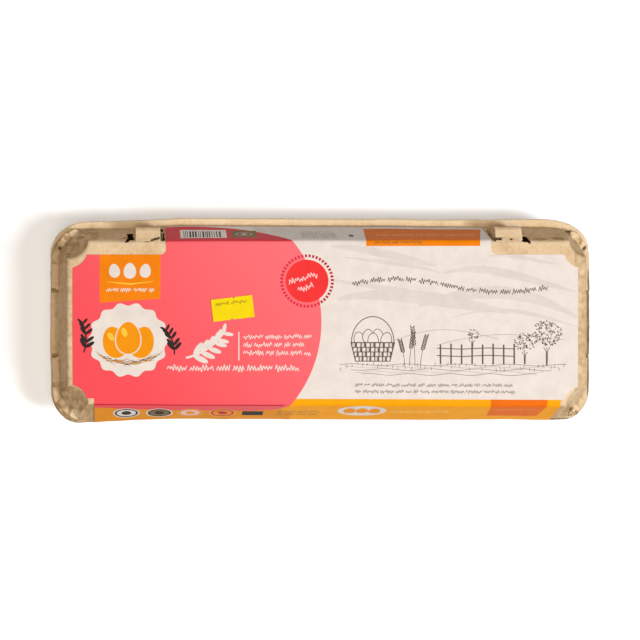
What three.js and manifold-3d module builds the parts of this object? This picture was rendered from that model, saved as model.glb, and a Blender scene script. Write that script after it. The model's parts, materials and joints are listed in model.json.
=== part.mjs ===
// A shut carton of moulded pulp for a dozen eggs, with a paper label wrapped over its lid
// and a small price sticker on the label. Millimetres, +X along the carton, +Y towards the
// side with the lock tabs, +Z up, origin under the middle of the whole carton.
import * as THREE from 'three';
import { mergeVertices } from 'three/addons/utils/BufferGeometryUtils.js';
import Module from 'manifold-3d';

const wasm = await Module();
wasm.setup();

// ---- Driving dimensions ----
const LENGTH = 300; // over the rim
const RIM_WIDTH = 107.3; // of the lid's rim
const LIP = 4.7; // how far the tray's rim stands out past the lid on the lock side
const RIM_RADIUS = 18.5; // plan radius of the lid rim's corners
const TRAY_RADIUS = 21; // and of the tray rim's
const PARTING = 40; // height of the line where tray and lid meet
const HEIGHT = 70; // of the lid's flat top
const GAP = 0.3; // between neighbouring pieces

const CUP = { columns: 6, rows: 2, pitch: 47.5, foot: 13.5, top: 23.4, bulge: 0.72, roundness: 0.62 };
const TRAY_RIM = { thickness: 5.5, edge: 0.8, taper: 3 };
const WEB = { floor: 18, bevel: 3, length: 262, width: 74, spread: 8, radius: 20 };

const SKIRT = { top: 46.5, bevel: 1.2, batter: 0.5, endLedge: 5, sideLedge: 1.5 };
const PANEL = { length: 277.6, width: 89.8, edge: 2 }; // the lid's top, measured at its folds
const FOOT_CUT = { along: 9, across: 14 }; // straight cut at the foot of each lid corner
const TOP_CUT = { along: 11, across: 9 }; // scooped cut at the top of each lid corner
const END_RECESS = { width: 35.6, depth: 3 };
const LUG = { x: 138.4, y: 49.4, length: 4.2, width: 2.4, height: 2.6 };
const DIMPLE = { radius: 2.3, tip: 0.6, depth: 4.5, spots: [[134.8, 49.6], [144.6, 41.2]] };

const TAB = { x: 98, width: 15, stemFrom: 39, stemTo: 46.5, reach: 53.2, top: 66 };
const WINDOW = { x: 99.4, width: 21.4, sill: 46, head: 67.4 };

const LABEL = {
  thickness: 0.35,
  halfLength: 136.5,
  lockEdge: 37, // on the top, beside the lock flap
  hingeEdge: 41.5, // on the top, beside the hinge flap
  flapFoot: 44.5, // height of the flaps' lower edges
  lockFlap: 88, // half lengths of the two flaps
  hingeFlap: 126,
  fillet: 2.7, // between the lock flap and the top's edge
  bite: { x: 139, lockY: 40, hingeY: 44.3, radius: 10.4 }, // round bites at the four corners
};
const STICKER = { x: -52.5, y: 7.6, length: 22.2, width: 11.8, thickness: 0.25, turn: 7, notch: 0.8 };

const CORNER_STEPS = 8;
const CUP_STEPS = 5;
const CUP_RINGS = 7;

// ---- Materials ----
const pulp = (name) =>
  new THREE.MeshStandardMaterial({ name, color: 0xd9bf95, roughness: 0.95, metalness: 0 });
const labelPaper = new THREE.MeshStandardMaterial({ name: 'label_paper', color: 0xfb5a63, roughness: 0.5 });
const stickerPaper = new THREE.MeshStandardMaterial({ name: 'sticker_paper', color: 0xffde0a, roughness: 0.6 });

// ---- Shape helpers ----

// A corner's cut, as the distances in from the two straight sides, for t from 0 to 1.
const quarterTurn = (t) => (t * Math.PI) / 2;
const roundCut = (radius) => (t) => [
  radius * (1 - Math.cos(quarterTurn(t))),
  radius * (1 - Math.sin(quarterTurn(t))),
];
const straightCut = ({ along, across }) => (t) => [along * t, across * (1 - t)];
const scoopedCut = ({ along, across }) => (t) => [
  along * Math.sin(quarterTurn(t)),
  across * Math.cos(quarterTurn(t)),
];

// The closed outline of a rectangle with all four corners cut alike, anticlockwise.
function outline(halfLength, halfWidth, cut, steps = CORNER_STEPS) {
  const quarter = Array.from({ length: steps + 1 }, (_, i) => {
    const [dx, dy] = cut(i / steps);
    return [halfLength - dx, halfWidth - dy];
  });
  const placed = (sx, sy) => {
    const points = quarter.map(([x, y]) => new THREE.Vector2(sx * x, sy * y));
    return sx * sy > 0 ? points : points.reverse();
  };
  return [...placed(1, 1), ...placed(-1, 1), ...placed(-1, -1), ...placed(1, -1)];
}

// A closed solid through rings of equal point counts, lowest first.
function loft(rings) {
  const count = rings[0].points.length;
  const position = rings.flatMap(({ z, points }) => points.flatMap((p) => [p.x, p.y, z]));
  const index = [];
  for (let r = 0; r < rings.length - 1; r++) {
    for (let i = 0; i < count; i++) {
      const a = r * count + i;
      const b = r * count + ((i + 1) % count);
      index.push(a, b, b + count, a, b + count, a + count);
    }
  }
  const last = (rings.length - 1) * count;
  for (const [a, b, c] of THREE.ShapeUtils.triangulateShape(rings[0].points, [])) index.push(c, b, a);
  for (const [a, b, c] of THREE.ShapeUtils.triangulateShape(rings.at(-1).points, [])) {
    index.push(last + a, last + b, last + c);
  }
  const geometry = new THREE.BufferGeometry();
  geometry.setAttribute('position', new THREE.Float32BufferAttribute(position, 3));
  geometry.setIndex(index);
  return geometry;
}

// A section drawn as [across, up] pairs, extruded along X and centred on x.
function alongX(section, length, x) {
  const shape = new THREE.Shape(section.map(([across, up]) => new THREE.Vector2(across, up)));
  const geometry = new THREE.ExtrudeGeometry(shape, { depth: length, bevelEnabled: false });
  geometry.translate(0, 0, -length / 2);
  const yzx = new THREE.Matrix4().makeBasis(
    new THREE.Vector3(0, 1, 0),
    new THREE.Vector3(0, 0, 1),
    new THREE.Vector3(1, 0, 0),
  );
  return geometry.applyMatrix4(yzx).translate(x, 0, 0);
}

function solid(geometry) {
  const bare = geometry.clone();
  bare.deleteAttribute('normal');
  bare.deleteAttribute('uv');
  const merged = mergeVertices(bare, 1e-4);
  return new wasm.Manifold(
    new wasm.Mesh({
      numProp: 3,
      vertProperties: new Float32Array(merged.attributes.position.array),
      triVerts: new Uint32Array(merged.index.array),
    }),
  );
}

function geometryOf(manifold) {
  const { vertProperties, triVerts } = manifold.getMesh();
  const geometry = new THREE.BufferGeometry();
  geometry.setAttribute('position', new THREE.Float32BufferAttribute(vertProperties, 3));
  geometry.setIndex([...triVerts]);
  geometry.computeVertexNormals();
  return geometry;
}

const joined = (solids) => solids.reduce((sum, next) => sum.add(next));

function mesh(name, manifold, material) {
  const piece = new THREE.Mesh(geometryOf(manifold), material);
  piece.name = name;
  return piece;
}

// ---- Tray ----

// One egg cup, from its flat foot to the underside of the rim.
function cup(x, y) {
  const top = PARTING - TRAY_RIM.thickness + 1;
  const ring = (z, half) => ({
    z,
    points: outline(half, half, roundCut(half * CUP.roundness), CUP_STEPS),
  });
  const rings = [ring(0, CUP.foot - 1.2)];
  for (let i = 0; i <= CUP_RINGS; i++) {
    const share = i / CUP_RINGS;
    const half = CUP.foot + (CUP.top - CUP.foot) * share ** CUP.bulge;
    rings.push(ring(1.2 + (top - 1.2) * share, half));
  }
  return solid(loft(rings).translate(x, y, 0));
}

function cups() {
  const all = [];
  for (let row = 0; row < CUP.rows; row++) {
    for (let column = 0; column < CUP.columns; column++) {
      const x = (column - (CUP.columns - 1) / 2) * CUP.pitch;
      const y = (row - (CUP.rows - 1) / 2) * CUP.pitch;
      all.push(cup(x, y));
    }
  }
  return joined(all);
}

// The saddle of pulp that joins the cups between their feet.
function web() {
  const { floor, bevel, length, width, spread, radius } = WEB;
  const ring = (z, wider) => ({
    z,
    points: outline(length / 2 + wider, width / 2 + wider, roundCut(radius)),
  });
  const top = PARTING - TRAY_RIM.thickness + 1;
  return solid(loft([ring(floor, -bevel), ring(floor + bevel, 0), ring(top, spread)]));
}

function trayRim() {
  const { thickness, edge, taper } = TRAY_RIM;
  const ring = (z, inset) => ({
    z,
    points: outline(LENGTH / 2 - inset, (RIM_WIDTH + LIP) / 2 - inset, roundCut(TRAY_RADIUS - inset / 2)),
  });
  const top = PARTING - GAP / 2;
  return solid(
    loft([
      ring(top - thickness, taper),
      ring(top - thickness / 2, edge / 2),
      ring(top - edge, 0),
      ring(top, edge),
    ]).translate(0, LIP / 2, 0),
  );
}

// A lock tab stands on the tray behind the lid's wall and hooks out through the lid's window.
function lockTab(side) {
  const { stemFrom, stemTo, reach, top, width, x } = TAB;
  const sill = WINDOW.sill + GAP;
  const section = [
    [stemFrom, PARTING - 3],
    [stemTo, PARTING - 3],
    [stemTo, sill],
    [reach - 0.8, sill],
    [reach, sill + 2],
    [reach - 1.6, top - 6],
    [reach - 3, top - 3.6],
    [stemTo - 1.2, top],
    [stemFrom, top],
  ];
  return solid(alongX(section, width, side * x));
}

const tray = () => joined([cups(), web(), trayRim(), lockTab(-1), lockTab(1)]);

// ---- Lid ----

// Height and half width of the lid's long sides, from the rim to the flat top. The label follows it.
function sideProfile() {
  const half = RIM_WIDTH / 2;
  const fold = PANEL.width / 2;
  return [
    [half, PARTING + GAP / 2],
    [half - SKIRT.batter, SKIRT.top - SKIRT.bevel - 2],
    [half - SKIRT.sideLedge + 0.4, SKIRT.top - SKIRT.bevel],
    [half - SKIRT.sideLedge, SKIRT.top],
    [fold + 0.7, HEIGHT - PANEL.edge - 0.4],
    [fold - 0.1, HEIGHT - PANEL.edge * 0.4],
    [fold - PANEL.edge * 0.8, HEIGHT],
  ];
}

function lidShell() {
  const end = LENGTH / 2;
  const fold = PANEL.length / 2;
  const ends = [
    end,
    end - SKIRT.batter,
    end - SKIRT.bevel,
    end - SKIRT.endLedge,
    fold + 0.7,
    fold - 0.1,
    fold - PANEL.edge * 0.8,
  ];
  const skirtCut = roundCut(RIM_RADIUS);
  const topCut = scoopedCut(TOP_CUT);
  const cuts = [skirtCut, skirtCut, skirtCut, straightCut(FOOT_CUT), topCut, topCut, topCut];
  return solid(
    loft(sideProfile().map(([half, z], i) => ({ z, points: outline(ends[i], half, cuts[i]) }))),
  );
}

function endRecess(side) {
  const { width, depth } = END_RECESS;
  const ledge = SKIRT.endLedge;
  const box = new THREE.BoxGeometry(ledge + 2, width, depth + 6);
  box.translate(side * (LENGTH / 2 + 1 - ledge / 2), 0, SKIRT.top - depth + (depth + 6) / 2);
  return solid(box);
}

// The opening that a lock tab comes through, with the space behind the wall for its stem.
function lockWindow(side) {
  const outside = RIM_WIDTH / 2 + 2;
  const section = [
    [TAB.stemTo + GAP, WINDOW.sill],
    [outside, WINDOW.sill],
    [outside, WINDOW.head],
    [TAB.stemFrom - GAP, WINDOW.head],
    [TAB.stemFrom - GAP, PARTING - 1],
    [TAB.stemTo + GAP, PARTING - 1],
  ];
  return solid(alongX(section, WINDOW.width, side * WINDOW.x));
}

// Calls make(sx, sy) for the four corners.
const atCorners = (make) => [[1, 1], [-1, 1], [-1, -1], [1, -1]].flatMap(([sx, sy]) => make(sx, sy));

function cornerLugs() {
  return atCorners((sx, sy) => {
    const box = new THREE.BoxGeometry(LUG.length, LUG.width, LUG.height * 2);
    return solid(box.translate(sx * LUG.x, sy * LUG.y, SKIRT.top - 0.4));
  });
}

function cornerDimples() {
  return atCorners((sx, sy) =>
    DIMPLE.spots.map(([x, y]) => {
      const pit = new THREE.CylinderGeometry(DIMPLE.radius, DIMPLE.tip, DIMPLE.depth, 5);
      pit.rotateX(Math.PI / 2);
      return solid(pit.translate(sx * x, sy * y, SKIRT.top));
    }),
  );
}

function lid() {
  const cut = joined([endRecess(-1), endRecess(1), lockWindow(-1), lockWindow(1), ...cornerDimples()]);
  return joined([lidShell(), ...cornerLugs()]).subtract(cut);
}

// ---- Label ----

// The lid's cross section, lock side to hinge side, moved outwards by distance.
function wrapSection(distance) {
  const lockSide = sideProfile().map(([y, z]) => new THREE.Vector2(y, z));
  const hingeSide = lockSide.map((p) => new THREE.Vector2(-p.x, p.y)).reverse();
  const points = [...lockSide, ...hingeSide];
  const normal = (a, b) => new THREE.Vector2(b.y - a.y, a.x - b.x).normalize();
  return points.map((p, i) => {
    const before = i > 0 ? normal(points[i - 1], p) : normal(p, points[i + 1]);
    const after = i < points.length - 1 ? normal(p, points[i + 1]) : before;
    const along = before.clone().add(after).normalize();
    return p.clone().addScaledVector(along, distance / along.dot(after));
  });
}

const arc = (x, y, radius, from, to, steps = 6) =>
  Array.from({ length: steps + 1 }, (_, i) => {
    const angle = THREE.MathUtils.degToRad(from + ((to - from) * i) / steps);
    return new THREE.Vector2(x + radius * Math.cos(angle), y + radius * Math.sin(angle));
  });

// The label as seen from above, anticlockwise from the hinge flap's right end. Its two ends are alike.
function labelPlan() {
  const { lockEdge, hingeEdge, lockFlap, hingeFlap, fillet, bite, halfLength } = LABEL;
  const outside = RIM_WIDTH / 2 + 2;
  const degrees = (radians) => THREE.MathUtils.radToDeg(radians);
  const steep = degrees(Math.acos((bite.x - halfLength) / bite.radius));
  const lockStart = degrees(Math.asin((bite.lockY - lockEdge) / bite.radius));
  const hingeStart = degrees(Math.asin((bite.hingeY - hingeEdge) / bite.radius));
  const rightEnd = [
    new THREE.Vector2(hingeFlap, -outside),
    new THREE.Vector2(hingeFlap, -hingeEdge),
    ...arc(bite.x, -bite.hingeY, bite.radius, 180 - hingeStart, 180 - steep),
    ...arc(bite.x, bite.lockY, bite.radius, 180 + steep, 180 + lockStart),
    ...arc(lockFlap + fillet, lockEdge + fillet, fillet, 270, 180, 4),
    new THREE.Vector2(lockFlap, outside),
  ];
  const leftEnd = rightEnd.map((p) => new THREE.Vector2(-p.x, p.y)).reverse();
  return [...rightEnd, ...leftEnd];
}

function label() {
  const wrap = (distance) => {
    const section = wrapSection(distance).map((p) => [p.x, p.y]);
    return solid(alongX(section, LENGTH, 0));
  };
  const sheet = wrap(GAP + LABEL.thickness).subtract(wrap(GAP));
  const plan = new THREE.ExtrudeGeometry(new THREE.Shape(labelPlan()), {
    depth: HEIGHT,
    bevelEnabled: false,
  });
  return sheet.intersect(solid(plan.translate(0, 0, LABEL.flapFoot)));
}

// ---- Price sticker ----

function sticker() {
  const { length, width, notch, thickness, x, y, turn } = STICKER;
  const shape = new THREE.Shape(
    [
      [-length / 2, -width / 2],
      [-notch, -width / 2],
      [0, -width / 2 + notch],
      [notch, -width / 2],
      [length / 2, -width / 2],
      [length / 2, width / 2],
      [notch, width / 2],
      [0, width / 2 - notch],
      [-notch, width / 2],
      [-length / 2, width / 2],
    ].map(([px, py]) => new THREE.Vector2(px, py)),
  );
  const geometry = new THREE.ExtrudeGeometry(shape, { depth: thickness, bevelEnabled: false });
  geometry.rotateZ(THREE.MathUtils.degToRad(turn));
  return solid(geometry.translate(x, y, HEIGHT + 2 * GAP + LABEL.thickness));
}

// ---- The carton ----
const carton = new THREE.Group();
carton.position.y = -LIP / 2;
carton.add(
  mesh('tray', tray(), pulp('tray_pulp')),
  mesh('lid', lid(), pulp('lid_pulp')),
  mesh('label', label(), labelPaper),
  mesh('price_sticker', sticker(), stickerPaper),
);

const group = new THREE.Group();
group.add(carton);

export default group;
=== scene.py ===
"""A shut pulp carton for a dozen eggs, with its printed label, price sticker, light and camera."""

import json
import logging
import math
import random
from collections.abc import Callable, Iterable, Sequence
from dataclasses import dataclass, field
from enum import Enum

import bmesh
import bpy
import numpy as np
from mathutils import Matrix, Vector, noise
from mathutils.geometry import delaunay_2d_cdt

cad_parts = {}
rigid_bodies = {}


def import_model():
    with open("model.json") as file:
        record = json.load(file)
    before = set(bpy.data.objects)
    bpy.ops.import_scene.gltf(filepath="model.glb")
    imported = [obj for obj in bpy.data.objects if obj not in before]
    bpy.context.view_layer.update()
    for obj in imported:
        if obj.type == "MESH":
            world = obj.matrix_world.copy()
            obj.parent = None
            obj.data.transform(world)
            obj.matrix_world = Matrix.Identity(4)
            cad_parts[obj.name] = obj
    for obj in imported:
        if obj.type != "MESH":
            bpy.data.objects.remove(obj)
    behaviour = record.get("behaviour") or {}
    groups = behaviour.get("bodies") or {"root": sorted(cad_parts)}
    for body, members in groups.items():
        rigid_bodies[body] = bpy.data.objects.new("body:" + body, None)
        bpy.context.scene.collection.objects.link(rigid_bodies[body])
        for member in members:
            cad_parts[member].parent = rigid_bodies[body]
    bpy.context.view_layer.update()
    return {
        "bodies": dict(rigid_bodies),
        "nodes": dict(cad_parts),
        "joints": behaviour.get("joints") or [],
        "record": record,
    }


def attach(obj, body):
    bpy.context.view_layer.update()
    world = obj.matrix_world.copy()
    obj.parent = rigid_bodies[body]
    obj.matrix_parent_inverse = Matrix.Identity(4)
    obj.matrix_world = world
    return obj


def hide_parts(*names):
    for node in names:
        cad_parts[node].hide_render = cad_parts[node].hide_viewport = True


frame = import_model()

LOG = logging.getLogger("egg_carton")
MM = 0.001
Point = tuple[float, float]
Triple = tuple[float, float, float]
Colour = tuple[int, int, int]
Points = tuple[Point, ...]
Laid = tuple[Vector, Vector]
BMesh = bmesh.types.BMesh
BMVert = bmesh.types.BMVert
Material = bpy.types.Material
Node = bpy.types.Node
Socket = bpy.types.NodeSocket
Object = bpy.types.Object
RELIEF = "relief"
SLOPE = "slope"


# --- Sizes, in millimetres about the middle of the carton's body ---


@dataclass(frozen=True)
class CartonSizes:
    """The driving sizes of the carton, which the frame's boxes share.

    The corner sizes are each rim corner's size along and across against the usual one, anticlockwise
    from the right lock corner.
    """

    length: float = 300.0
    rim_width: float = 107.3
    lip: float = 4.7
    corner_sizes: Points = ((1.3, 0.88), (1.02, 1.13), (0.86, 0.98), (0.92, 0.98))
    parting: float = 40.0
    height: float = 70.0
    gap: float = 0.3
    panel_length: float = 277.6
    panel_width: float = 89.8
    skirt_top: float = 46.5
    label_thickness: float = 0.35
    label_foot: float = 44.5

    @property
    def body_y(self) -> float:
        """Where the body's middle lies in the row frame, which is centred on body and lip."""
        return -self.lip / 2

    def place(self, bm: BMesh) -> None:
        """Moves a mesh from millimetres about the body's middle into the row frame, in metres."""
        shift = Matrix.Translation((0.0, self.body_y * MM, 0.0))
        bmesh.ops.transform(bm, matrix=shift @ Matrix.Scale(MM, 4), verts=bm.verts)


SIZES = CartonSizes()


# --- Finishes ---


def linear(colour: Sequence[int]) -> tuple[float, float, float, float]:
    """Turns an 8-bit sRGB colour into the linear one that a shader takes.

    Args:
        colour: Red, green and blue from 0 to 255.

    Returns:
        The linear colour with full alpha.
    """

    def channel(value: int) -> float:
        """One channel's linear share."""
        share = value / 255.0
        return share / 12.92 if share <= 0.04045 else ((share + 0.055) / 1.055) ** 2.4

    return (*(channel(value) for value in colour), 1.0)


class NodeDesk:
    """A small helper that lays out one material's nodes."""

    def __init__(self, name: str) -> None:
        """Starts an empty material with its output and Principled shader.

        Args:
            name: The material's name.
        """
        self.material = bpy.data.materials.new(name)
        self.material.use_nodes = True
        self.tree = self.material.node_tree
        self.tree.nodes.clear()
        self.output = self.tree.nodes.new("ShaderNodeOutputMaterial")
        self.shader = self.add("ShaderNodeBsdfPrincipled")
        self.link(self.shader, "BSDF", self.output, "Surface")
        self.place = self.add("ShaderNodeTexCoord")

    def add(self, kind: str, **settings: object) -> Node:
        """Adds a node.

        Args:
            kind: The node's type.
            settings: Attributes of the node, and values of inputs by their name with _ for a space.

        Returns:
            The new node.
        """
        node = self.tree.nodes.new(kind)
        for key, value in settings.items():
            socket = key.replace("_", " ")
            if socket in node.inputs:
                node.inputs[socket].default_value = value
            else:
                setattr(node, key, value)
        return node

    def link(self, source: Node, out: str | int, target: Node, into: str | int) -> None:
        """Joins one node's output to another's input."""
        self.tree.links.new(source.outputs[out], target.inputs[into])

    def noise(self, scale: float, detail: float, rough: float = 0.5, distortion: float = 0.0) -> Node:
        """Adds a noise texture on Object coordinates.

        Args:
            scale: Its cells for each metre.
            detail: How many finer layers it has.
            rough: How strong those layers are.
            distortion: How far it is swirled.

        Returns:
            The texture.
        """
        node = self.add("ShaderNodeTexNoise", Scale=scale, Detail=detail)
        node.inputs["Roughness"].default_value = rough
        node.inputs["Distortion"].default_value = distortion
        self.link(self.place, "Object", node, "Vector")
        return node

    def ramp(self, stops: Sequence[tuple[float, Sequence[int]]]) -> Node:
        """Adds a colour ramp.

        Args:
            stops: Each stop's place from 0 to 1 and its 8-bit colour.

        Returns:
            The ramp.
        """
        node = self.add("ShaderNodeValToRGB")
        elements = node.color_ramp.elements
        while len(elements) < len(stops):
            elements.new(0.5)
        for element, (position, colour) in zip(elements, stops):
            element.position = position
            element.color = linear(colour)
        return node

    def band(self, source: Node, low: float, high: float, most: float = 1.0, least: float = 0.0) -> Socket:
        """Turns a stretch of a texture's values into a share.

        Args:
            source: The texture or attribute.
            low: The value at which the share starts.
            high: The value at which it ends.
            most: The share at the high value and past it.
            least: The share at the low value and before it.

        Returns:
            The share's socket.
        """
        node = self.add("ShaderNodeMapRange", From_Min=low, From_Max=high, To_Min=least, To_Max=most)
        self.link(source, "Fac", node, "Value")
        return node.outputs["Result"]

    def bump(self, height: Node, distance: float, strength: float) -> None:
        """Adds a bump, after any bump that the shader already has.

        Args:
            height: The texture that gives its height.
            distance: Its full height, in metres.
            strength: How much of that height shows.
        """
        node = self.add("ShaderNodeBump", Strength=strength, Distance=distance)
        self.link(height, "Fac", node, "Height")
        normal = self.shader.inputs["Normal"]
        if normal.links:
            self.tree.links.new(normal.links[0].from_socket, node.inputs["Normal"])
        self.link(node, "Normal", self.shader, "Normal")


@dataclass(frozen=True)
class PulpFinish:
    """Moulded pulp: matted fibres, soft lumps and flecks, with painted shade in dips, on steep parts and
    inside holes, and a painted highlight on edges.

    The scales are in cells for each metre. A lay is a direction of the fibres, in degrees, with its
    scale along each axis.
    """

    name: str
    pale: Colour = (226, 200, 165)
    body: Colour = (215, 186, 149)
    dull: Colour = (196, 164, 123)
    fleck: Colour = (122, 90, 56)
    # Painted shade laid in dips, creases and recesses.
    hollow_shade: Colour = (114, 80, 34)
    # Painted shade laid on steep parts.
    shaded: Colour = (148, 103, 36)
    # Pale fibres, and also a painted highlight on edges, lugs and the right hinge corner.
    worn: Colour = (232, 210, 176)
    # Near-black painted shade inside windows, tears, slits and pits.
    pocket: Colour = (34, 22, 14)
    roughness: float = 0.95
    gloss: float = 0.04
    cloud_scale: float = 70.0
    lump_scale: float = 520.0
    speck_scale: float = 1100.0
    dark_lay: tuple[float, Triple] = (25.0, (1000.0, 2600.0, 2600.0))
    pale_lay: tuple[float, Triple] = (-50.0, (2400.0, 950.0, 2400.0))
    patch_lay: tuple[float, Triple] = (0.0, (440.0, 440.0, 240.0))
    lump_height: float = 0.0008
    fibre_height: float = 0.0003

    def _fibres(self, desk: NodeDesk, lay: tuple[float, Triple]) -> Node:
        """Adds one lay of matted fibres.

        Args:
            desk: The material's nodes.
            lay: The fibres' direction and scale.

        Returns:
            The texture, whose value stands high on a fibre.
        """
        turn, scale = lay
        frame = desk.add("ShaderNodeMapping")
        frame.inputs["Rotation"].default_value = [math.radians(turn * share) for share in (0.6, 0.3, 1.0)]
        frame.inputs["Scale"].default_value = scale
        desk.link(desk.place, "Object", frame, "Vector")
        strand = desk.add("ShaderNodeTexNoise", Scale=1.0, Detail=2.0, Roughness=0.5, Distortion=0.6)
        desk.link(frame, "Vector", strand, "Vector")
        return strand

    def _ground(self, desk: NodeDesk, lumps: Node) -> Socket:
        """Mixes the pulp's cloudy ground colour.

        Args:
            desk: The material's nodes.
            lumps: The texture of its small lumps.

        Returns:
            The colour's socket.
        """
        tone = desk.add("ShaderNodeMix", data_type="FLOAT")
        tone.inputs[0].default_value = 0.5
        desk.link(desk.noise(self.cloud_scale, 4.0, 0.6), "Fac", tone, 2)
        desk.link(lumps, "Fac", tone, 3)
        ramp = desk.ramp([(0.32, self.dull), (0.50, self.body), (0.66, self.pale)])
        desk.link(tone, 0, ramp, "Fac")
        return ramp.outputs["Color"]

    def build(self) -> Material:
        """Makes the material.

        Returns:
            The pulp material.
        """
        desk = NodeDesk(self.name)
        desk.shader.inputs["Roughness"].default_value = self.roughness
        desk.shader.inputs["Specular IOR Level"].default_value = self.gloss
        lumps = desk.noise(self.lump_scale, 6.0, 0.7)
        specks = desk.noise(self.speck_scale, 3.0, 0.6, 1.2)
        dark, pale = self._fibres(desk, self.dark_lay), self._fibres(desk, self.pale_lay)
        relief = desk.add("ShaderNodeAttribute", attribute_name=RELIEF)
        slope = desk.add("ShaderNodeAttribute", attribute_name=SLOPE)
        patches = desk.band(self._fibres(desk, self.patch_lay), 0.36, 0.64, 1.25, least=0.75)
        # Painted shade on steep parts, mottled by the patches.
        uneven = desk.add("ShaderNodeMath", operation="MULTIPLY")
        desk.tree.links.new(desk.band(slope, 0.25, 0.75, 0.35), uneven.inputs[0])
        desk.tree.links.new(patches, uneven.inputs[1])
        layers = (
            (self.fleck, desk.band(dark, 0.60, 0.70, 0.28)),
            (self.worn, desk.band(pale, 0.60, 0.70, 0.28)),
            (self.fleck, desk.band(specks, 0.66, 0.73, 0.45)),
            # Painted shade in dips, a painted highlight on edges, painted shade on steep parts and
            # near-black painted shade inside holes.
            (self.hollow_shade, desk.band(relief, 0.54, 0.90, 0.6)),
            # Painted highlight on edges and on places marked below nought.
            (self.worn, desk.band(relief, 0.46, 0.2, 0.4)),
            (self.shaded, uneven.outputs[0]),
            (self.pocket, desk.band(relief, 1.1, 1.7)),
        )
        colour = self._ground(desk, lumps)
        for tint, share in layers:
            mix = desk.add("ShaderNodeMix", data_type="RGBA")
            mix.inputs[7].default_value = linear(tint)
            desk.tree.links.new(share, mix.inputs[0])
            desk.tree.links.new(colour, mix.inputs[6])
            colour = mix.outputs[2]
        desk.tree.links.new(colour, desk.shader.inputs["Base Color"])
        desk.bump(lumps, self.lump_height, 0.6)
        desk.bump(dark, self.fibre_height, 0.4)
        desk.bump(pale, self.fibre_height, 0.4)
        return desk.material


class Ink(Enum):
    """The inks, each with its 8-bit colour."""

    PAPER = (218, 207, 199)
    # Paper on the lock wall, darker: painted shade.
    WALL_PAPER = (206, 195, 187)
    CORAL = (229, 84, 92)
    # Coral on the lock wall, darker: painted shade.
    WALL_CORAL = (200, 56, 64)
    HAZE = (208, 197, 189)
    SKETCH = (96, 84, 80)
    FAINT = (172, 161, 154)
    FAINT_TYPE = (128, 116, 110)
    BLACK = (46, 36, 34)
    ORANGE = (227, 122, 4)
    DEEP_ORANGE = (224, 104, 8)
    # Orange on the lock wall, darker: painted shade.
    WALL_ORANGE = (204, 103, 8)
    YELLOW = (238, 156, 2)
    # Yellow on the hinge wall's left part, darker: painted shade.
    WALL_YELLOW = (222, 139, 0)
    GOLD = (228, 140, 6)
    GOLD_LIGHT = (232, 184, 60)
    GOLD_PALE = (234, 196, 120)
    FAINT_WARM = (222, 152, 84)
    RED = (226, 49, 49)
    RING_ROSE = (206, 40, 66)
    RING_RED = (176, 22, 44)
    # A crimson print colour, and the dark line of painted shade along the hinge fold.
    CREASE = (186, 44, 56)
    ROSE = (230, 190, 186)
    OLIVE = (124, 98, 56)
    STICKER = (230, 202, 4)
    STICKER_INK = (150, 128, 20)


@dataclass(frozen=True)
class InkFinish:
    """One ink on satin paper, a little uneven as print is, with scales in cells for each metre."""

    ink: Ink
    roughness: float = 0.56
    gloss: float = 0.05
    unevenness: float = 0.035
    mottle_scale: float = 140.0
    grain_scale: float = 2600.0
    grain_height: float = 0.00004
    sag_scale: float = 38.0
    sag_height: float = 0.0012

    def _colour(self, desk: NodeDesk) -> Node:
        """Mottles the ink's colour a little.

        Args:
            desk: The material's nodes.

        Returns:
            The node that gives the colour.
        """
        worn = tuple(round(c * (1 - self.unevenness)) for c in self.ink.value)
        bright = tuple(min(255, round(c * (1 + self.unevenness * 0.4))) for c in self.ink.value)
        ramp = desk.ramp([(0.3, worn), (0.7, bright)])
        desk.link(desk.noise(self.mottle_scale, 5.0, 0.6), "Fac", ramp, "Fac")
        return ramp

    def build(self) -> Material:
        """Makes the material.

        Returns:
            The ink's material.
        """
        desk = NodeDesk("print_" + self.ink.name.lower())
        desk.shader.inputs["Roughness"].default_value = self.roughness
        desk.shader.inputs["Specular IOR Level"].default_value = self.gloss
        desk.link(self._colour(desk), "Color", desk.shader, "Base Color")
        desk.bump(desk.noise(self.grain_scale, 2.0), self.grain_height, 0.35)
        desk.bump(desk.noise(self.sag_scale, 1.0), self.sag_height, 0.5)
        return desk.material


@dataclass(frozen=True)
class FadingInkFinish(InkFinish):
    """The label's large coral field, which is paler towards the lock side and the middle."""

    deep: Colour = (229, 74, 82)
    pale: Colour = (231, 106, 112)
    lean: float = 0.9
    start: float = -0.14
    end: float = 0.02

    def _colour(self, desk: NodeDesk) -> Node:
        """Fades the ink along a slanting line.

        Args:
            desk: The material's nodes.

        Returns:
            The node that gives the colour.
        """
        split = desk.add("ShaderNodeSeparateXYZ")
        desk.link(desk.place, "Object", split, 0)
        slant = desk.add("ShaderNodeMath", operation="MULTIPLY_ADD")
        slant.inputs[1].default_value = self.lean
        desk.link(split, "Y", slant, 0)
        desk.link(split, "X", slant, 2)
        fade = desk.add("ShaderNodeMapRange", From_Min=self.start, From_Max=self.end)
        desk.link(slant, 0, fade, "Value")
        ramp = desk.ramp([(0.0, self.deep), (1.0, self.pale)])
        desk.link(fade, "Result", ramp, "Fac")
        return ramp


class InkShelf:
    """Keeps one material for each ink, made when it is first asked for."""

    def __init__(self) -> None:
        """Starts with no inks made."""
        self._made: dict[Ink, Material] = {}

    def material(self, ink: Ink) -> Material:
        """The ink's material.

        Args:
            ink: Which ink.

        Returns:
            Its material, the same one each time.
        """
        if ink not in self._made:
            finish = FadingInkFinish(ink) if ink is Ink.CORAL else InkFinish(ink)
            self._made[ink] = finish.build()
        return self._made[ink]


# --- Mesh helpers ---


class Cut(Enum):
    """How a rectangle's corner is cut."""

    ROUND = "round"
    STRAIGHT = "straight"
    SCOOPED = "scooped"


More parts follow.
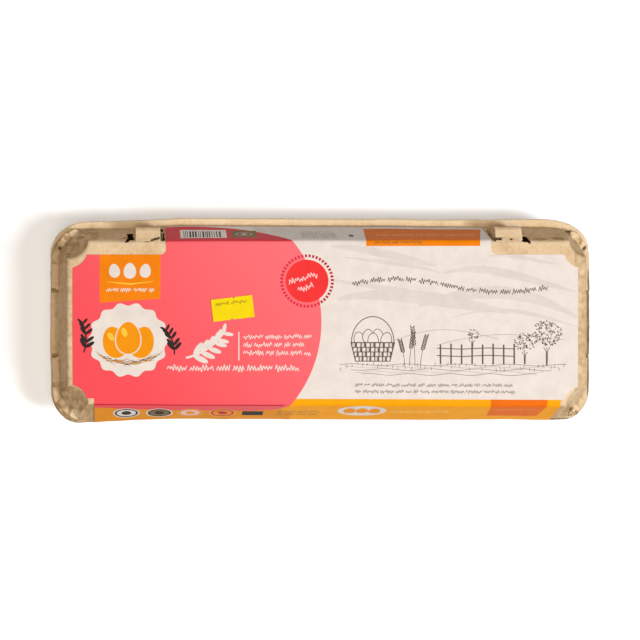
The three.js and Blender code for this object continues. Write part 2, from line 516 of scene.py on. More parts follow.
def cut_offset(cut: Cut, along: float, across: float, share: float) -> Point:
    """How far a cut corner lies in from the rectangle's two sides.

    Args:
        cut: The kind of cut.
        along: Its length along X.
        across: Its length along Y.
        share: How far round the corner, from 0 at the end side to 1 at the long side.

    Returns:
        The distances in from the end and from the long side.
    """
    turn = share * math.pi / 2
    if cut is Cut.ROUND:
        return along * (1 - math.cos(turn)), across * (1 - math.sin(turn))
    if cut is Cut.STRAIGHT:
        return along * share, across * (1 - share)
    return along * math.sin(turn), across * math.cos(turn)


def outline(
    half_length: float,
    half_width: float,
    cut: Cut,
    along: float,
    across: float,
    steps: int,
    sizes: Sequence[Point] = ((1.0, 1.0),) * 4,
) -> list[Point]:
    """The closed outline of a rectangle with cut corners.

    Args:
        half_length: Half its size along X.
        half_width: Half its size along Y.
        cut: The kind of corner.
        along: The corner's length along X.
        across: The corner's length along Y.
        steps: Segments round each corner.
        sizes: Each corner's size against those lengths, anticlockwise from the right lock corner.

    Returns:
        The outline's points, anticlockwise.
    """
    points: list[Point] = []
    for (sx, sy), (wider, deeper) in zip(((1, 1), (-1, 1), (-1, -1), (1, -1)), sizes):
        placed = []
        for i in range(steps + 1):
            dx, dy = cut_offset(cut, along * wider, across * deeper, i / steps)
            placed.append((sx * (half_length - dx), sy * (half_width - dy)))
        points += placed if sx * sy > 0 else placed[::-1]
    return points


def loft(bm: BMesh, rings: Sequence[tuple[float, Sequence[Point]]]) -> None:
    """Builds a closed solid through level rings of equal point counts.

    Args:
        bm: The mesh to add it to.
        rings: Height and outline of each ring, lowest first.
    """
    height, points = rings[0]
    verts = [bm.verts.new((x, y, height)) for x, y in points]
    count = len(verts)
    edges = [bm.edges.new((verts[i], verts[(i + 1) % count])) for i in range(count)]
    bmesh.ops.contextual_create(bm, geom=edges)
    for height, points in rings[1:]:
        result = bmesh.ops.extrude_edge_only(bm, edges=edges)
        fresh = {item for item in result["geom"] if isinstance(item, BMVert)}
        verts = [next(e.other_vert(v) for e in v.link_edges if e.other_vert(v) in fresh) for v in verts]
        for vert, (x, y) in zip(verts, points):
            vert.co = (x, y, height)
        edges = [bm.edges.get((verts[i], verts[(i + 1) % count])) for i in range(count)]
    bmesh.ops.contextual_create(bm, geom=edges)
    bmesh.ops.recalc_face_normals(bm, faces=bm.faces)


def block(
    bm: BMesh,
    low: Sequence[float],
    high: Sequence[float],
    soften: float = 0.0,
    taper: float = 1.0,
) -> list[BMVert]:
    """Adds a box between two corners, with its edges softened and its top drawn in.

    Args:
        bm: The mesh to add it to.
        low: Its lowest corner.
        high: Its highest corner.
        soften: The width of the bevel on its edges.
        taper: The size of its top against its foot.

    Returns:
        The box's vertices.
    """
    size = [b - a for a, b in zip(low, high)]
    centre = [(a + b) / 2 for a, b in zip(low, high)]
    verts = bmesh.ops.create_cube(bm, size=1.0)["verts"]
    for vert in verts:
        if vert.co.z > 0:
            vert.co.x *= taper
            vert.co.y *= taper
    bmesh.ops.transform(bm, matrix=Matrix.Translation(centre) @ Matrix.Diagonal((*size, 1.0)), verts=verts)
    if soften:
        edges = list({edge for vert in verts for edge in vert.link_edges})
        how = {"segments": 2, "profile": 0.5, "affect": "EDGES", "material": -1}
        made = bmesh.ops.bevel(bm, geom=edges, offset=soften, **how)
        verts = list(set(made["verts"]) | {v for v in verts if v.is_valid})
    return verts


def prism(bm: BMesh, section: list[Point], start: float, end: float, across: bool = False) -> list[BMVert]:
    """Adds a bar with the same section all along.

    Args:
        bm: The mesh to add it to.
        section: The section's corners, level distance and height.
        start: Where the bar starts.
        end: Where it ends.
        across: Whether it runs along Y, or else along X.

    Returns:
        The bar's vertices.
    """
    verts = [bm.verts.new((a, start, b) if across else (start, a, b)) for a, b in section]
    result = bmesh.ops.extrude_face_region(bm, geom=[bm.faces.new(verts)])
    far = [item for item in result["geom"] if isinstance(item, BMVert)]
    step = (0.0, end - start, 0.0) if across else (end - start, 0.0, 0.0)
    bmesh.ops.translate(bm, vec=step, verts=far)
    verts += far
    faces = {face for vert in verts for face in vert.link_faces}
    bmesh.ops.recalc_face_normals(bm, faces=list(faces))
    return verts


def as_mesh(bm: BMesh, name: str) -> bpy.types.Mesh:
    """Turns a bmesh into a mesh.

    Args:
        bm: The bmesh, which is used up.
        name: The mesh's name.

    Returns:
        The mesh.
    """
    mesh = bpy.data.meshes.new(name)
    bm.to_mesh(mesh)
    bm.free()
    return mesh


def linked(name: str, mesh: bpy.types.Mesh) -> Object:
    """Puts a mesh in the scene as an object at the origin.

    Args:
        name: The object's name.
        mesh: Its mesh.

    Returns:
        The object.
    """
    obj = bpy.data.objects.new(name, mesh)
    bpy.context.scene.collection.objects.link(obj)
    return obj


def removed(obj: Object) -> None:
    """Takes an object and its mesh out of the file.

    Args:
        obj: The object.
    """
    mesh = obj.data
    bpy.data.objects.remove(obj)
    bpy.data.meshes.remove(mesh)


def applied(obj: Object) -> BMesh:
    """Reads an object with its modifiers applied, and removes the object.

    Args:
        obj: The object with modifiers.

    Returns:
        Its final shape as a new bmesh.
    """
    graph = bpy.context.evaluated_depsgraph_get()
    bm = bmesh.new()
    bm.from_object(obj, graph)
    removed(obj)
    return bm


def carved(body: BMesh, cutters: BMesh) -> BMesh:
    """Cuts one closed mesh out of another.

    Args:
        body: The mesh to cut.
        cutters: Closed solids that don't touch each other.

    Returns:
        The cut mesh.
    """
    tool = linked("cutter", as_mesh(cutters, "cutter"))
    work = linked("carved", as_mesh(body, "carved"))
    cut = work.modifiers.new("cut", "BOOLEAN")
    cut.operation = "DIFFERENCE"
    cut.solver = "EXACT"
    cut.use_self = True
    cut.object = tool
    result = applied(work)
    removed(tool)
    return result


def remeshed(body: BMesh, voxel: float, smoothing: int) -> BMesh:
    """Fuses overlapping solids into one even skin with soft edges, as a pulp mould leaves them.

    Args:
        body: The solids.
        voxel: The skin's mesh size.
        smoothing: How many rounds of smoothing it gets.

    Returns:
        The fused skin.
    """
    work = linked("skin", as_mesh(body, "skin"))
    remesh = work.modifiers.new("fuse", "REMESH")
    remesh.mode = "VOXEL"
    remesh.voxel_size = voxel
    remesh.adaptivity = 0.0
    bm = applied(work)
    axes = {"use_axis_x": True, "use_axis_y": True, "use_axis_z": True}
    for _ in range(smoothing):
        bmesh.ops.smooth_vert(bm, verts=bm.verts, factor=0.5, **axes)
    return bm


def climb(value: float, start: float, end: float, most: float = 1.0) -> float:
    """How far a value has come from the start to the end, as a share from nought to the most."""
    return min(max((value - start) / (end - start), 0.0), most)


def drawn_out(place: Vector, squeeze: float) -> Vector:
    """A place with its height squeezed, so that noise read there is drawn out down a wall."""
    return Vector((place.x, place.y, place.z * squeeze))


def roughened(bm: BMesh, layers: Sequence[tuple[float, float]], seed: float) -> None:
    """Moves a skin's vertices in and out as pressed pulp is uneven.

    Args:
        bm: The skin.
        layers: The wavelength and the height of each layer of unevenness.
        seed: An offset that gives each skin a pattern of its own.
    """
    bm.normal_update()
    shift = Vector((seed, seed * 1.7, seed * 2.3))
    moves = []
    for vert in bm.verts:
        place = drawn_out(vert.co, 0.6)
        push = sum(height * noise.noise(place / wave + shift) for wave, height in layers)
        moves.append(vert.normal * push)
    for vert, move in zip(bm.verts, moves):
        vert.co += move


def closed_cut(bm: BMesh, place: Sequence[float], normal: Sequence[float], keep_front: bool) -> None:
    """Cuts a closed skin along a plane and closes it there.

    Args:
        bm: The skin.
        place: A point of the plane.
        normal: The plane's direction.
        keep_front: Whether the part that the normal points to stays, or the other.
    """
    geom = [*bm.verts, *bm.edges, *bm.faces]
    sides = {"clear_inner": keep_front, "clear_outer": not keep_front}
    bmesh.ops.bisect_plane(bm, geom=geom, plane_co=place, plane_no=normal, **sides)
    rim = [edge for edge in bm.edges if edge.is_boundary]
    bmesh.ops.holes_fill(bm, edges=rim, sides=0)
    for edge in rim:
        edge.smooth = False


def plain_patch(bm: BMesh, chosen: Callable[[Vector], bool]) -> None:
    """Swaps the small faces of a hidden patch for one large face.

    Args:
        bm: The skin.
        chosen: Says whether a face's middle lies in the patch.
    """
    faces = [face for face in bm.faces if chosen(face.calc_center_median())]
    bmesh.ops.delete(bm, geom=faces, context="FACES")
    rim = [edge for edge in bm.edges if edge.is_boundary]
    bmesh.ops.holes_fill(bm, edges=rim, sides=0)


def finished(bm: BMesh, name: str, materials: Iterable[Material]) -> Object:
    """Places a piece in the row frame, smooth shaded, with its materials.

    Args:
        bm: The piece, in millimetres about the body's middle.
        name: The piece's name.
        materials: Its materials, in slot order.

    Returns:
        The piece's object.
    """
    SIZES.place(bm)
    for face in bm.faces:
        face.smooth = True
    bm.normal_update()
    obj = linked(name, as_mesh(bm, name))
    for material in materials:
        obj.data.materials.append(material)
    return obj


def stood_in(obj: Object, node: str, slot: str) -> Object:
    """Lets a piece stand for a CAD node.

    Args:
        obj: The piece.
        node: The node.
        slot: The node's material slot; not used.

    Returns:
        The piece.
    """
    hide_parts(node)
    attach(obj, "root")
    return obj


@dataclass(frozen=True)
class Pressing:
    """How the pressed and handled carton strays from its plain form.

    The edges give how far a wall's foot stands out along the carton, or across it for the ends.
    """

    lock_edge: Points = (
        *((-136.0, -2.3), (-120.0, -2.0), (-105.0, -1.6), (-90.0, -0.8), (-75.0, 0.0), (20.0, 0.0)),
        *((34.0, 0.4), (60.0, 0.1), (85.0, 0.3), (120.0, 0.8), (140.0, 0.5)),
    )
    hinge_edge: Points = (
        *((-138.0, -0.9), (-128.0, -0.6), (-115.0, 0.2), (-100.0, 1.0), (-85.0, 1.3)),
        *((-50.0, 1.0), (0.0, 0.7), (60.0, 0.1), (100.0, 0.2), (125.0, -0.2)),
    )
    end_edge: Points = ((-30.0, 0.0), (-8.0, 0.45), (34.0, 0.5), (50.0, 0.2))
    narrow: float = 0.33
    narrower: float = 0.0075
    top_slip: float = -0.4

    def _eased(self, line: Sequence[Point], at: float) -> float:
        """Reads a value off a line of points, eased between them and level beyond its ends.

        Args:
            line: The points, each a place and its value.
            at: Where to read it.

        Returns:
            The value there.
        """
        if at <= line[0][0]:
            return line[0][1]
        for (a, low), (b, high) in zip(line, line[1:]):
            if at <= b:
                share = (at - a) / (b - a)
                return low + (high - low) * share * share * (3 - 2 * share)
        return line[-1][1]

    def moved(self, place: Vector) -> Vector:
        """Moves a point of the plain form to where it lies on the pressed carton.

        Args:
            place: The point, in millimetres about the body's middle.

        Returns:
            The moved point.
        """
        x, y, z = place
        low = climb(z, 28.0, 36.0)
        high = climb(z, SIZES.skirt_top, SIZES.height)
        side = climb(abs(y), 30.0, 54.0, 1.05) ** 2 * low * (1 - high)
        end = climb(abs(x), 110.0, 138.0)
        y += self._eased(self.lock_edge if y > 0 else self.hinge_edge, x) * side
        y *= 1 - (self.narrow - self.narrower * x) * high / 44.0
        x += math.copysign(self._eased(self.end_edge, y), x) * end * low * (1 - 0.6 * high)
        x -= self.top_slip * end * high
        return Vector((x, y, z))

    def shape(self, bm: BMesh) -> None:
        """Moves a whole piece's vertices."""
        for vert in bm.verts:
            vert.co = self.moved(vert.co)


PRESSING = Pressing()


def marked(bm: BMesh, rounds: int = 24, depth: float = 0.7) -> BMesh:
    """Notes on a skin's vertices how deep each sits in a dip, or far out on an edge, and how steep each is,
    which the finish turns into painted shade and painted highlight.

    Vertices that are already marked as darker keep that, and marks below nought keep a steep part free of
    painted shade and give it a painted highlight.

    Args:
        bm: A closed skin with even faces, in millimetres, which is used up.
        rounds: How far the surroundings reach that it is compared with, in edges squared.
        depth: The depth that counts as one.

    Returns:
        The same skin with its marks.
    """

    def read(items: Sequence[bpy.types.bpy_struct], name: str) -> np.ndarray:
        """Reads one vector for each item.

        Args:
            items: The vertices, or their normals.
            name: What is read.

        Returns:
            The vectors, a row for each item.
        """
        values = np.empty(len(items) * 3)
        items.foreach_get(name, values)
        return values.reshape(-1, 3)

    mesh = as_mesh(bm, "marked")
    count = len(mesh.vertices)
    places, normals = read(mesh.vertices, "co"), read(mesh.vertex_normals, "vector")
    ends = np.empty(len(mesh.edges) * 2, dtype=np.int64)
    mesh.edges.foreach_get("vertices", ends)
    first, second = ends.reshape(-1, 2).T
    degree = np.maximum(np.bincount(first, minlength=count) + np.bincount(second, minlength=count), 1)
    around = places.copy()
    for _ in range(rounds):
        total = [
            np.bincount(first, around[second, k], count) + np.bincount(second, around[first, k], count)
            for k in range(3)
        ]
        around = np.stack(total, axis=1) / degree[:, None]
    steep = np.clip(1.0 - normals[:, 2], 0.0, 1.0)
    sunk = np.sum((around - places) * normals, axis=1) / depth
    values = np.clip(0.5 + 0.5 * sunk, 0.0, 1.0)
    layer = mesh.attributes.get(RELIEF)
    if layer:
        given = np.empty(count)
        layer.data.foreach_get("value", given)
        values = np.maximum(values, given)
        steep *= 1.0 + np.minimum(given, 0.0)
        values += np.minimum(given, 0.0) * 0.4
    else:
        layer = mesh.attributes.new(RELIEF, "FLOAT", "POINT")
    layer.data.foreach_set("value", values)
    mesh.attributes.new(SLOPE, "FLOAT", "POINT").data.foreach_set("value", steep)
    result = bmesh.new()
    result.from_mesh(mesh)
    bpy.data.meshes.remove(mesh)
    return result


def mark_dark(bm: BMesh, darkness: Callable[[Vector], float]) -> None:
    """Marks painted shade inside holes and pits, in corners and grooves, and painted highlights, which the
    finish darkens or pales.

    Args:
        bm: A skin in millimetres.
        darkness: Gives how much painted shade darkens the skin at a place, up to two, or less than nought
            where a painted highlight pales it.
    """
    layer = bm.verts.layers.float.new(RELIEF)
    for vert in bm.verts:
        vert[layer] = darkness(vert.co)


def pulp_piece(bm: BMesh, name: str, material: Material, node: str) -> Object:
    """Finishes a moulded piece that stands for a CAD node, from its mesh in millimetres."""
    return stood_in(finished(bm, name, [material]), node, node + "_pulp")


# --- Pulp pieces ---


@dataclass(frozen=True)
class Tear:
    """A small torn hole, cut as a box turned about the vertical, in degrees."""

    centre: Triple
    size: Triple
    turn: float
    margin: float = 0.5

    def cut(self, bm: BMesh) -> None:
        """Adds the tear's cutter.

        Args:
            bm: The cutters' mesh.
        """
        x, y, z = (value / 2 for value in self.size)
        verts = block(bm, (-x, -y, -z), (x, y, z))
        place = Matrix.Translation(self.centre) @ Matrix.Rotation(math.radians(self.turn), 4, "Z")
        bmesh.ops.transform(bm, matrix=place, verts=verts)

    def holds(self, place: Vector) -> bool:
        """Whether a place lies in the tear or just beside it.

        Args:
            place: Where on the skin.

        Returns:
            Whether it is no farther from the tear than the margin.
        """
        away = place - Vector(self.centre)
        turned = Matrix.Rotation(math.radians(-self.turn), 3, "Z") @ away
        return all(abs(value) < size / 2 + self.margin for value, size in zip(turned, self.size))


@dataclass(frozen=True)
class Spot:
    """A small oblong place on the lid, seen from above."""

    x: float
    y: float
    wide: float
    long: float

    def away(self, place: Vector) -> float:
        """How far a place lies from the spot's middle, against the spot's own size."""
        return math.hypot((place.x - self.x) / self.wide, (place.y - self.y) / self.long)


@dataclass(frozen=True)
class Pit(Spot):
    """A small dent where the mould's pin has pressed the skirt's corner."""

    def cut(self, bm: BMesh, top: float) -> None:
        """Adds the pit's cutter, whose upper end stands above the skirt.

        Args:
            bm: The cutters' mesh.
            top: The height of the skirt's top.
        """
        cone = bmesh.ops.create_cone(bm, cap_ends=True, segments=5, radius1=0.3, radius2=0.5, depth=5.6)
        size = Matrix.Diagonal((self.wide, self.long, 1.0, 1.0))
        place = Matrix.Translation((self.x, self.y, top + 0.6))
        bmesh.ops.transform(bm, matrix=place @ size, verts=cone["verts"])

    def holds(self, place: Vector) -> bool:
        """Whether a place lies within the pit's outline."""
        return self.away(place) < 0.55


@dataclass(frozen=True)
class ShadeSpot(Spot):
    """A brown spot of painted shade with a ragged edge, beside the lugs, pits and windows."""

    depth: float
    reach: float = 1.45
    ragged: float = 0.45
    farthest: float = 1.8

    def at(self, place: Vector) -> float:
        """How dark the spot's painted shade makes the pulp.

        Args:
            place: Where on the skin.

        Returns:
            The spot's own depth inside it, falling to nought at its edge.
        """
        away = self.away(place)
        if away > self.farthest:
            return 0.0
        edge = self.reach - away - self.ragged * noise.noise(place / 1.2)
        return self.depth * climb(edge, 0.0, 0.85)


@dataclass
class Lid:
    """The upper half: sloping walls on a skirt, scooped corners, windows for the lock tabs."""

    material: Material
    end_ledge: float = 5.0
    side_ledge: float = 1.5
    batter: float = 0.5
    bevel: float = 1.2
    fold_radius: float = 1.4
    fold_inset: float = 0.7
    end_reach: float = 0.9
    foot_cut: Point = (9.0, 13.0)
    top_cut: Point = (11.0, 9.8)
    top_sizes: Points = ((0.8, 0.86), (1.0, 1.0), (1.0, 1.0), (1.0, 1.0))
    rim_round: float = 16.5
    corner_steps: int = 12
    recess_half: float = 17.8
    end_part: float = 66.0
    plain_half: Point = (126.0, 33.0)
    windows: tuple[Point, Point] = ((-104.0, -89.4), (90.4, 106.9))
    tears: tuple[Tear, ...] = (
        Tear((-106.6, 46.0, 60.4), (2.9, 10.4, 12.6), 12.0),
        Tear((-108.6, 44.8, 66.8), (1.2, 4.4, 6.0), -40.0),
        Tear((-89.7, 46.9, 62.0), (1.5, 5.2, 14.0), 6.0),
        Tear((-91.0, 43.4, 69.0), (2.4, 0.8, 4.0), 28.0),
        Tear((-94.2, 45.3, 68.4), (5.6, 0.7, 3.4), 13.0),
        Tear((-98.3, 44.3, 69.4), (4.4, 0.7, 1.6), 13.0),
        Tear((-94.6, 42.9, 70.0), (3.4, 0.6, 1.4), 9.0),
        Tear((107.3, 45.2, 64.0), (4.1, 8.4, 10.0), -8.0),
        Tear((109.2, 43.8, 68.2), (1.0, 4.4, 7.0), 36.0),
        Tear((105.2, 43.6, 69.6), (3.4, 0.7, 2.6), -18.0),
        Tear((90.3, 46.8, 61.5), (1.2, 6.8, 15.0), 4.0),
        Tear((92.6, 45.2, 68.4), (3.8, 0.8, 3.8), 0.0),
        Tear((99.6, 45.1, 68.6), (1.8, 0.7, 3.4), -5.0),
    )
    window_sill: float = 46.0
    window_head: float = 67.4
    pocket: tuple[float, float, float, float] = (16.0, 43.2, 43.5, 65.8)
    lugs: Points = ((-137.4, 50.7), (139.3, 49.6), (-137.4, -49.4), (140.2, -47.4))
    tongues: Points = ((142.4, 46.6), (141.7, -45.6), (-142.2, 46.2), (-142.0, -45.2))
    pits: tuple[Pit, ...] = (
        Pit(-134.6, 50.6, 2.4, 3.0),
        Pit(-144.3, 41.2, 2.4, 2.2),
        Pit(135.4, 50.9, 4.2, 2.8),
        Pit(145.4, 42.6, 2.6, 2.6),
        Pit(-134.8, -50.2, 2.4, 2.2),
        Pit(-143.9, -41.3, 2.2, 1.8),
        Pit(136.3, -48.8, 4.0, 3.2),
        Pit(141.4, -49.6, 2.2, 1.9),
    )
    # Spots of painted shade beside the lugs, pits, tongues and windows.
    shade_spots: tuple[ShadeSpot, ...] = (
        ShadeSpot(135.7, 50.0, 2.4, 1.9, 1.3),
        ShadeSpot(137.6, 51.6, 2.8, 0.9, 0.95),
        ShadeSpot(143.3, 45.4, 1.1, 3.0, 0.9),
        ShadeSpot(136.9, -47.2, 2.0, 1.3, 1.35),
        ShadeSpot(140.4, -48.9, 0.8, 1.0, 1.1),
        ShadeSpot(133.2, -46.6, 2.8, 3.4, 0.76),
        ShadeSpot(137.4, -50.7, 2.6, 0.6, 1.2),
        ShadeSpot(-141.6, 47.6, 1.6, 2.2, 0.86),
        ShadeSpot(-133.6, 47.0, 3.4, 1.4, 0.84),
        ShadeSpot(-133.4, -46.4, 1.6, 2.6, 0.84),
        ShadeSpot(-108.0, 46.2, 5.0, 1.0, 0.9),
        ShadeSpot(116.0, 45.4, 6.0, 1.1, 0.84),
        ShadeSpot(126.0, 46.0, 4.6, 1.2, 0.9),
    )
    voxel: float = 0.5
    unevenness: Points = ((15.0, 0.24), (5.0, 0.18), (2.2, 0.11), (1.2, 0.07))

    def side_profile(self) -> list[Point]:
        """Half width and height of the long sides, from the rim up to the flat top.

        Returns:
            The profile's corners, as the label follows them.
        """
        half = SIZES.rim_width / 2
        fold = SIZES.panel_width / 2 - self.fold_inset
        top = SIZES.skirt_top
        return [
            (half, SIZES.parting + SIZES.gap / 2),
            (half - self.batter, top - self.bevel - 2),
            (half - self.side_ledge + 0.4, top - self.bevel),
            (half - self.side_ledge, top),
            (fold + 0.7, SIZES.height - self.fold_radius - 0.4),
            (fold - 0.1, SIZES.height - self.fold_radius * 0.4),
            (fold - self.fold_radius * 0.8, SIZES.height),
        ]

    def _body(self) -> BMesh:
        """The lid's plain form, from its rounded lower edge to its flat top.

        Returns:
            The form as a closed solid.
        """
        end = SIZES.length / 2
        fold = SIZES.panel_length / 2 + self.end_reach
        (foot_half, foot_height), *upper = self.side_profile()
        sides = [(foot_half - 0.9, foot_height), (foot_half - 0.15, foot_height + 1.0), *upper]
        ends = (
            end - 1.5,
            end - 0.7,
            end - self.batter - 0.4,
            end - self.bevel - 0.2,
            end - self.end_ledge,
            fold + 0.9,
            fold + 0.5,
            fold - self.fold_radius * 0.5,
        )
        rim = (Cut.ROUND, self.rim_round, self.rim_round, self.corner_steps, SIZES.corner_sizes)
        foot = (Cut.STRAIGHT, *self.foot_cut, self.corner_steps)
        top = (Cut.SCOOPED, *self.top_cut, self.corner_steps, self.top_sizes)
        cuts = (rim, rim, rim, rim, foot, top, top, top)
        rings = [(height, outline(ends[i], half, *cuts[i])) for i, (half, height) in enumerate(sides)]
        bm = bmesh.new()
        loft(bm, rings)
        return bm

    def _end_cuts(self, bm: BMesh) -> None:
        """Adds the cutters for the finger recess and the grooves on both end ledges.

        Args:
            bm: The cutters' mesh.
        """
        end = SIZES.length / 2
        top = SIZES.skirt_top
        half = self.recess_half
        for side in (-1, 1):
            section = [
                (side * (end - 7.2), top + 9.0),
                (side * (end - 6.3), top + 4.2),
                (side * (end - 4.9), top - 0.6),
                (side * (end - 3.4), top - 2.6),
                (side * (end + 2.0), top - 3.5),
                (side * (end + 2.0), top + 9.0),
            ]
            prism(bm, section, -half, half, across=True)
            for row in (-1, 1):
                left, right = sorted((side * (end - 6.0), side * (end + 2.0)))
                block(bm, (left, row * half - 0.55, top - 4.6), (right, row * half + 0.55, top + 3.0))
                low, high = sorted((row * (half + 2.2), row * (half + 17.6)))
                for inset, width, depth in ((3.3, 1.0, 1.6), (5.2, 0.7, 0.6)):
                    left = side * (end - inset) - width / 2
                    block(bm, (left, low, top - depth), (left + width, high, top + 2.4))

    def _window_cuts(self, bm: BMesh) -> None:
        """Adds the cutters for the windows, with ragged edges, and for the dark space behind them.

        Args:
            bm: The cutters' mesh.
        """
        draw = random.Random(5)
        holes = bmesh.new()
        for low, high in self.windows:
            block(holes, (low, 38.7, self.window_sill), (high, 60.0, self.window_head))
        for tear in self.tears:
            tear.cut(holes)
        bmesh.ops.subdivide_edges(holes, edges=holes.edges, cuts=7, use_grid_fill=True)
        for vert in holes.verts:
            vert.co.x += draw.uniform(-0.4, 0.4)
            vert.co.z += draw.uniform(-0.3, 0.3)
        ragged = as_mesh(holes, "ragged")
        bm.from_mesh(ragged)
        bpy.data.meshes.remove(ragged)
        back, front, floor, head = self.pocket
        for low, high in self.windows:
            block(bm, (low - 5.0, back, floor), (high + 5.0, front, head))
            block(bm, (low + 0.5, 38.0, 39.0), (high - 0.5, 46.8, self.window_sill + 1.0))

    def _painted_shade_and_highlight(self, place: Vector) -> float:
        """How much painted shade darkens a place of the skin, or a painted highlight pales it.

        Args:
            place: Where on the skin.

        Returns:
            The darkness of the painted shade, which is less than nought where a painted highlight pales the
            lugs and the right hinge corner.
        """
        end, top, height = SIZES.length / 2, SIZES.skirt_top, SIZES.height
        x, y, z = place
        far, aside = abs(x), abs(y)
        drawn = drawn_out(place, 0.3)
        # Painted shade: a dark line along the right end's ledge groove.
        if x > end - 2.6 and -44.0 < y < 34.0 and z > SIZES.parting + 3:
            fade = min((y + 44.0) / 7.0, (34.0 - y) / 7.0, 1.0)
            return (1.3 + 0.2 * noise.noise(drawn / 6.0)) * fade
        # Painted shade at the foot of the hinge wall near the right corner.
        if 127.0 < x < 138.0 and y < -SIZES.rim_width / 2 + 1.2 and z < top - 1:
            return 1.34 + 0.3 * noise.noise(drawn / 2.5)
        # Painted highlight on the lugs.
        if z > top + 0.9 and any(math.hypot(x - a, y - b) < 3.0 for a, b in self.lugs):
            return -1.0
        # Painted shade on the left corners, on the skirt and up the facets.
        if x < -131.0 and aside > 35.0 and z < top + 0.8:
            fade = min((-131.0 - x) / 5.0, (aside - 35.0) / 5.0, 1.0)
            return (0.78 + 0.34 * noise.noise(drawn / 2.4)) * fade
        if x < -124.0 and aside > 32.0 and z < height - 1.6:
            return 0.71 + 0.26 * noise.noise(drawn / 2.2)
        # Painted shadow along the steps of the finger recess.
        if abs(aside - self.recess_half) < 1.1 and far > end - 6.2 and z < top - 0.5:
            return 0.95 + 0.2 * noise.noise(drawn / 2.0)
        # A slight darkening of the top edges at both ends, a little more at the right.
        if far > 134.0 and z > height - 2.0:
            return 0.605 + math.copysign(0.035, x) + 0.2 * noise.noise(drawn / 2.6)
        # Painted highlight on the right hinge corner.
        return -0.35 if x > 129.0 and y < -34.0 else 0.0

    def _darkness(self, place: Vector) -> float:
        """How much painted shade darkens a place of the skin, or a painted highlight pales it.

        Args:
            place: Where on the skin.

        Returns:
            Two, near-black painted shade, inside the windows and tears, and less in the pits, on the spots
            of painted shade and in the corners and grooves; below nought under a painted highlight.
        """
        # Painted shade inside the pits.
        if place.z < SIZES.skirt_top - 0.3 and any(pit.holds(place) for pit in self.pits):
            return 1.5
        low, high = SIZES.rim_width / 2 - self.side_ledge, SIZES.panel_width / 2 - self.fold_inset
        slope = (SIZES.height - SIZES.skirt_top) / (low - high)
        depth = min(SIZES.skirt_top + (low - place.y) * slope, SIZES.height - 0.3) - place.z
        # Near-black painted shade inside the windows and tears.
        if place.y > 15.0 and place.z > SIZES.parting + 1.0:
            if depth > 1.5 and any(a - 6 < place.x < b + 6 for a, b in self.windows):
                return 2.0
            if depth > 0.7 and any(tear.holds(place) for tear in self.tears):
                return 2.0
        spot_shade = max(shade_spot.at(place) for shade_spot in self.shade_spots)
        return spot_shade if spot_shade > 0.1 else self._painted_shade_and_highlight(place)

    def _corner_trim(self, bm: BMesh) -> None:
        """Adds the low tongue and the lug on each of the skirt's corners.

        Args:
            bm: The lid's mesh.
        """
        along, across = self.foot_cut
        lean = math.degrees(math.atan2(across, along))
        trims = (
            (self.tongues, lean, (5.0, 2.3), 0.7, 0.5),
            (self.lugs, 26.0, (2.4, 1.8), 2.3, 0.3),
        )
        for places, angle, (wide, long), rise, soften in trims:
            for x, y in places:
                turn = Matrix.Rotation(math.radians(math.copysign(angle, -x * y)), 4, "Z")
                trim = block(bm, (-wide, -long, -3.0), (wide, long, rise), soften, taper=0.9)
                place = Matrix.Translation((x, y, SIZES.skirt_top))
                bmesh.ops.transform(bm, matrix=place @ turn, verts=trim)

    def _parts(self, bm: BMesh) -> list[BMesh]:
        """Cuts the lid across in two places, almost wholly under the label, and closes the cuts.

        Args:
            bm: The whole lid.

        Returns:
            Its left end, its middle and its right end, each plain where the label hides it.
        """
        stops = (-SIZES.length, -self.end_part, self.end_part, SIZES.length)
        parts = []
        for low, high in zip(stops, stops[1:]):
            part = bm.copy()
            closed_cut(part, (low, 0.0, 0.0), (1.0, 0.0, 0.0), keep_front=True)
            closed_cut(part, (high, 0.0, 0.0), (1.0, 0.0, 0.0), keep_front=False)
            far, aside = self.plain_half
            left, right = max(low + 3, -far), min(high - 3, far)
            flat = SIZES.height - 1.2
            plain_patch(part, lambda c: left < c.x < right and abs(c.y) < aside and c.z > flat)
            parts.append(part)
        bm.free()
        return parts

    def build(self) -> list[Object]:
        """Makes the lid.

        Returns:
            The lid's three parts, which stand for the CAD lid.
        """
        cutters = bmesh.new()
        self._end_cuts(cutters)
        for pit in self.pits:
            pit.cut(cutters, SIZES.skirt_top)
        self._window_cuts(cutters)
        bm = carved(self._body(), cutters)
        self._corner_trim(bm)
        bm = remeshed(bm, self.voxel, 2)
        roughened(bm, self.unevenness, 3.1)
        mark_dark(bm, self._darkness)
        PRESSING.shape(bm)
        for vert in bm.verts:
            vert.co.z = min(vert.co.z, SIZES.height + SIZES.gap - 0.08)
        bm = marked(bm)
        closed_cut(bm, (0.0, 0.0, SIZES.parting + SIZES.gap / 2), (0.0, 0.0, 1.0), keep_front=True)
        names = ("lid_left", "lid_middle", "lid_right")
        return [pulp_piece(part, name, self.material, "lid") for part, name in zip(self._parts(bm), names)]


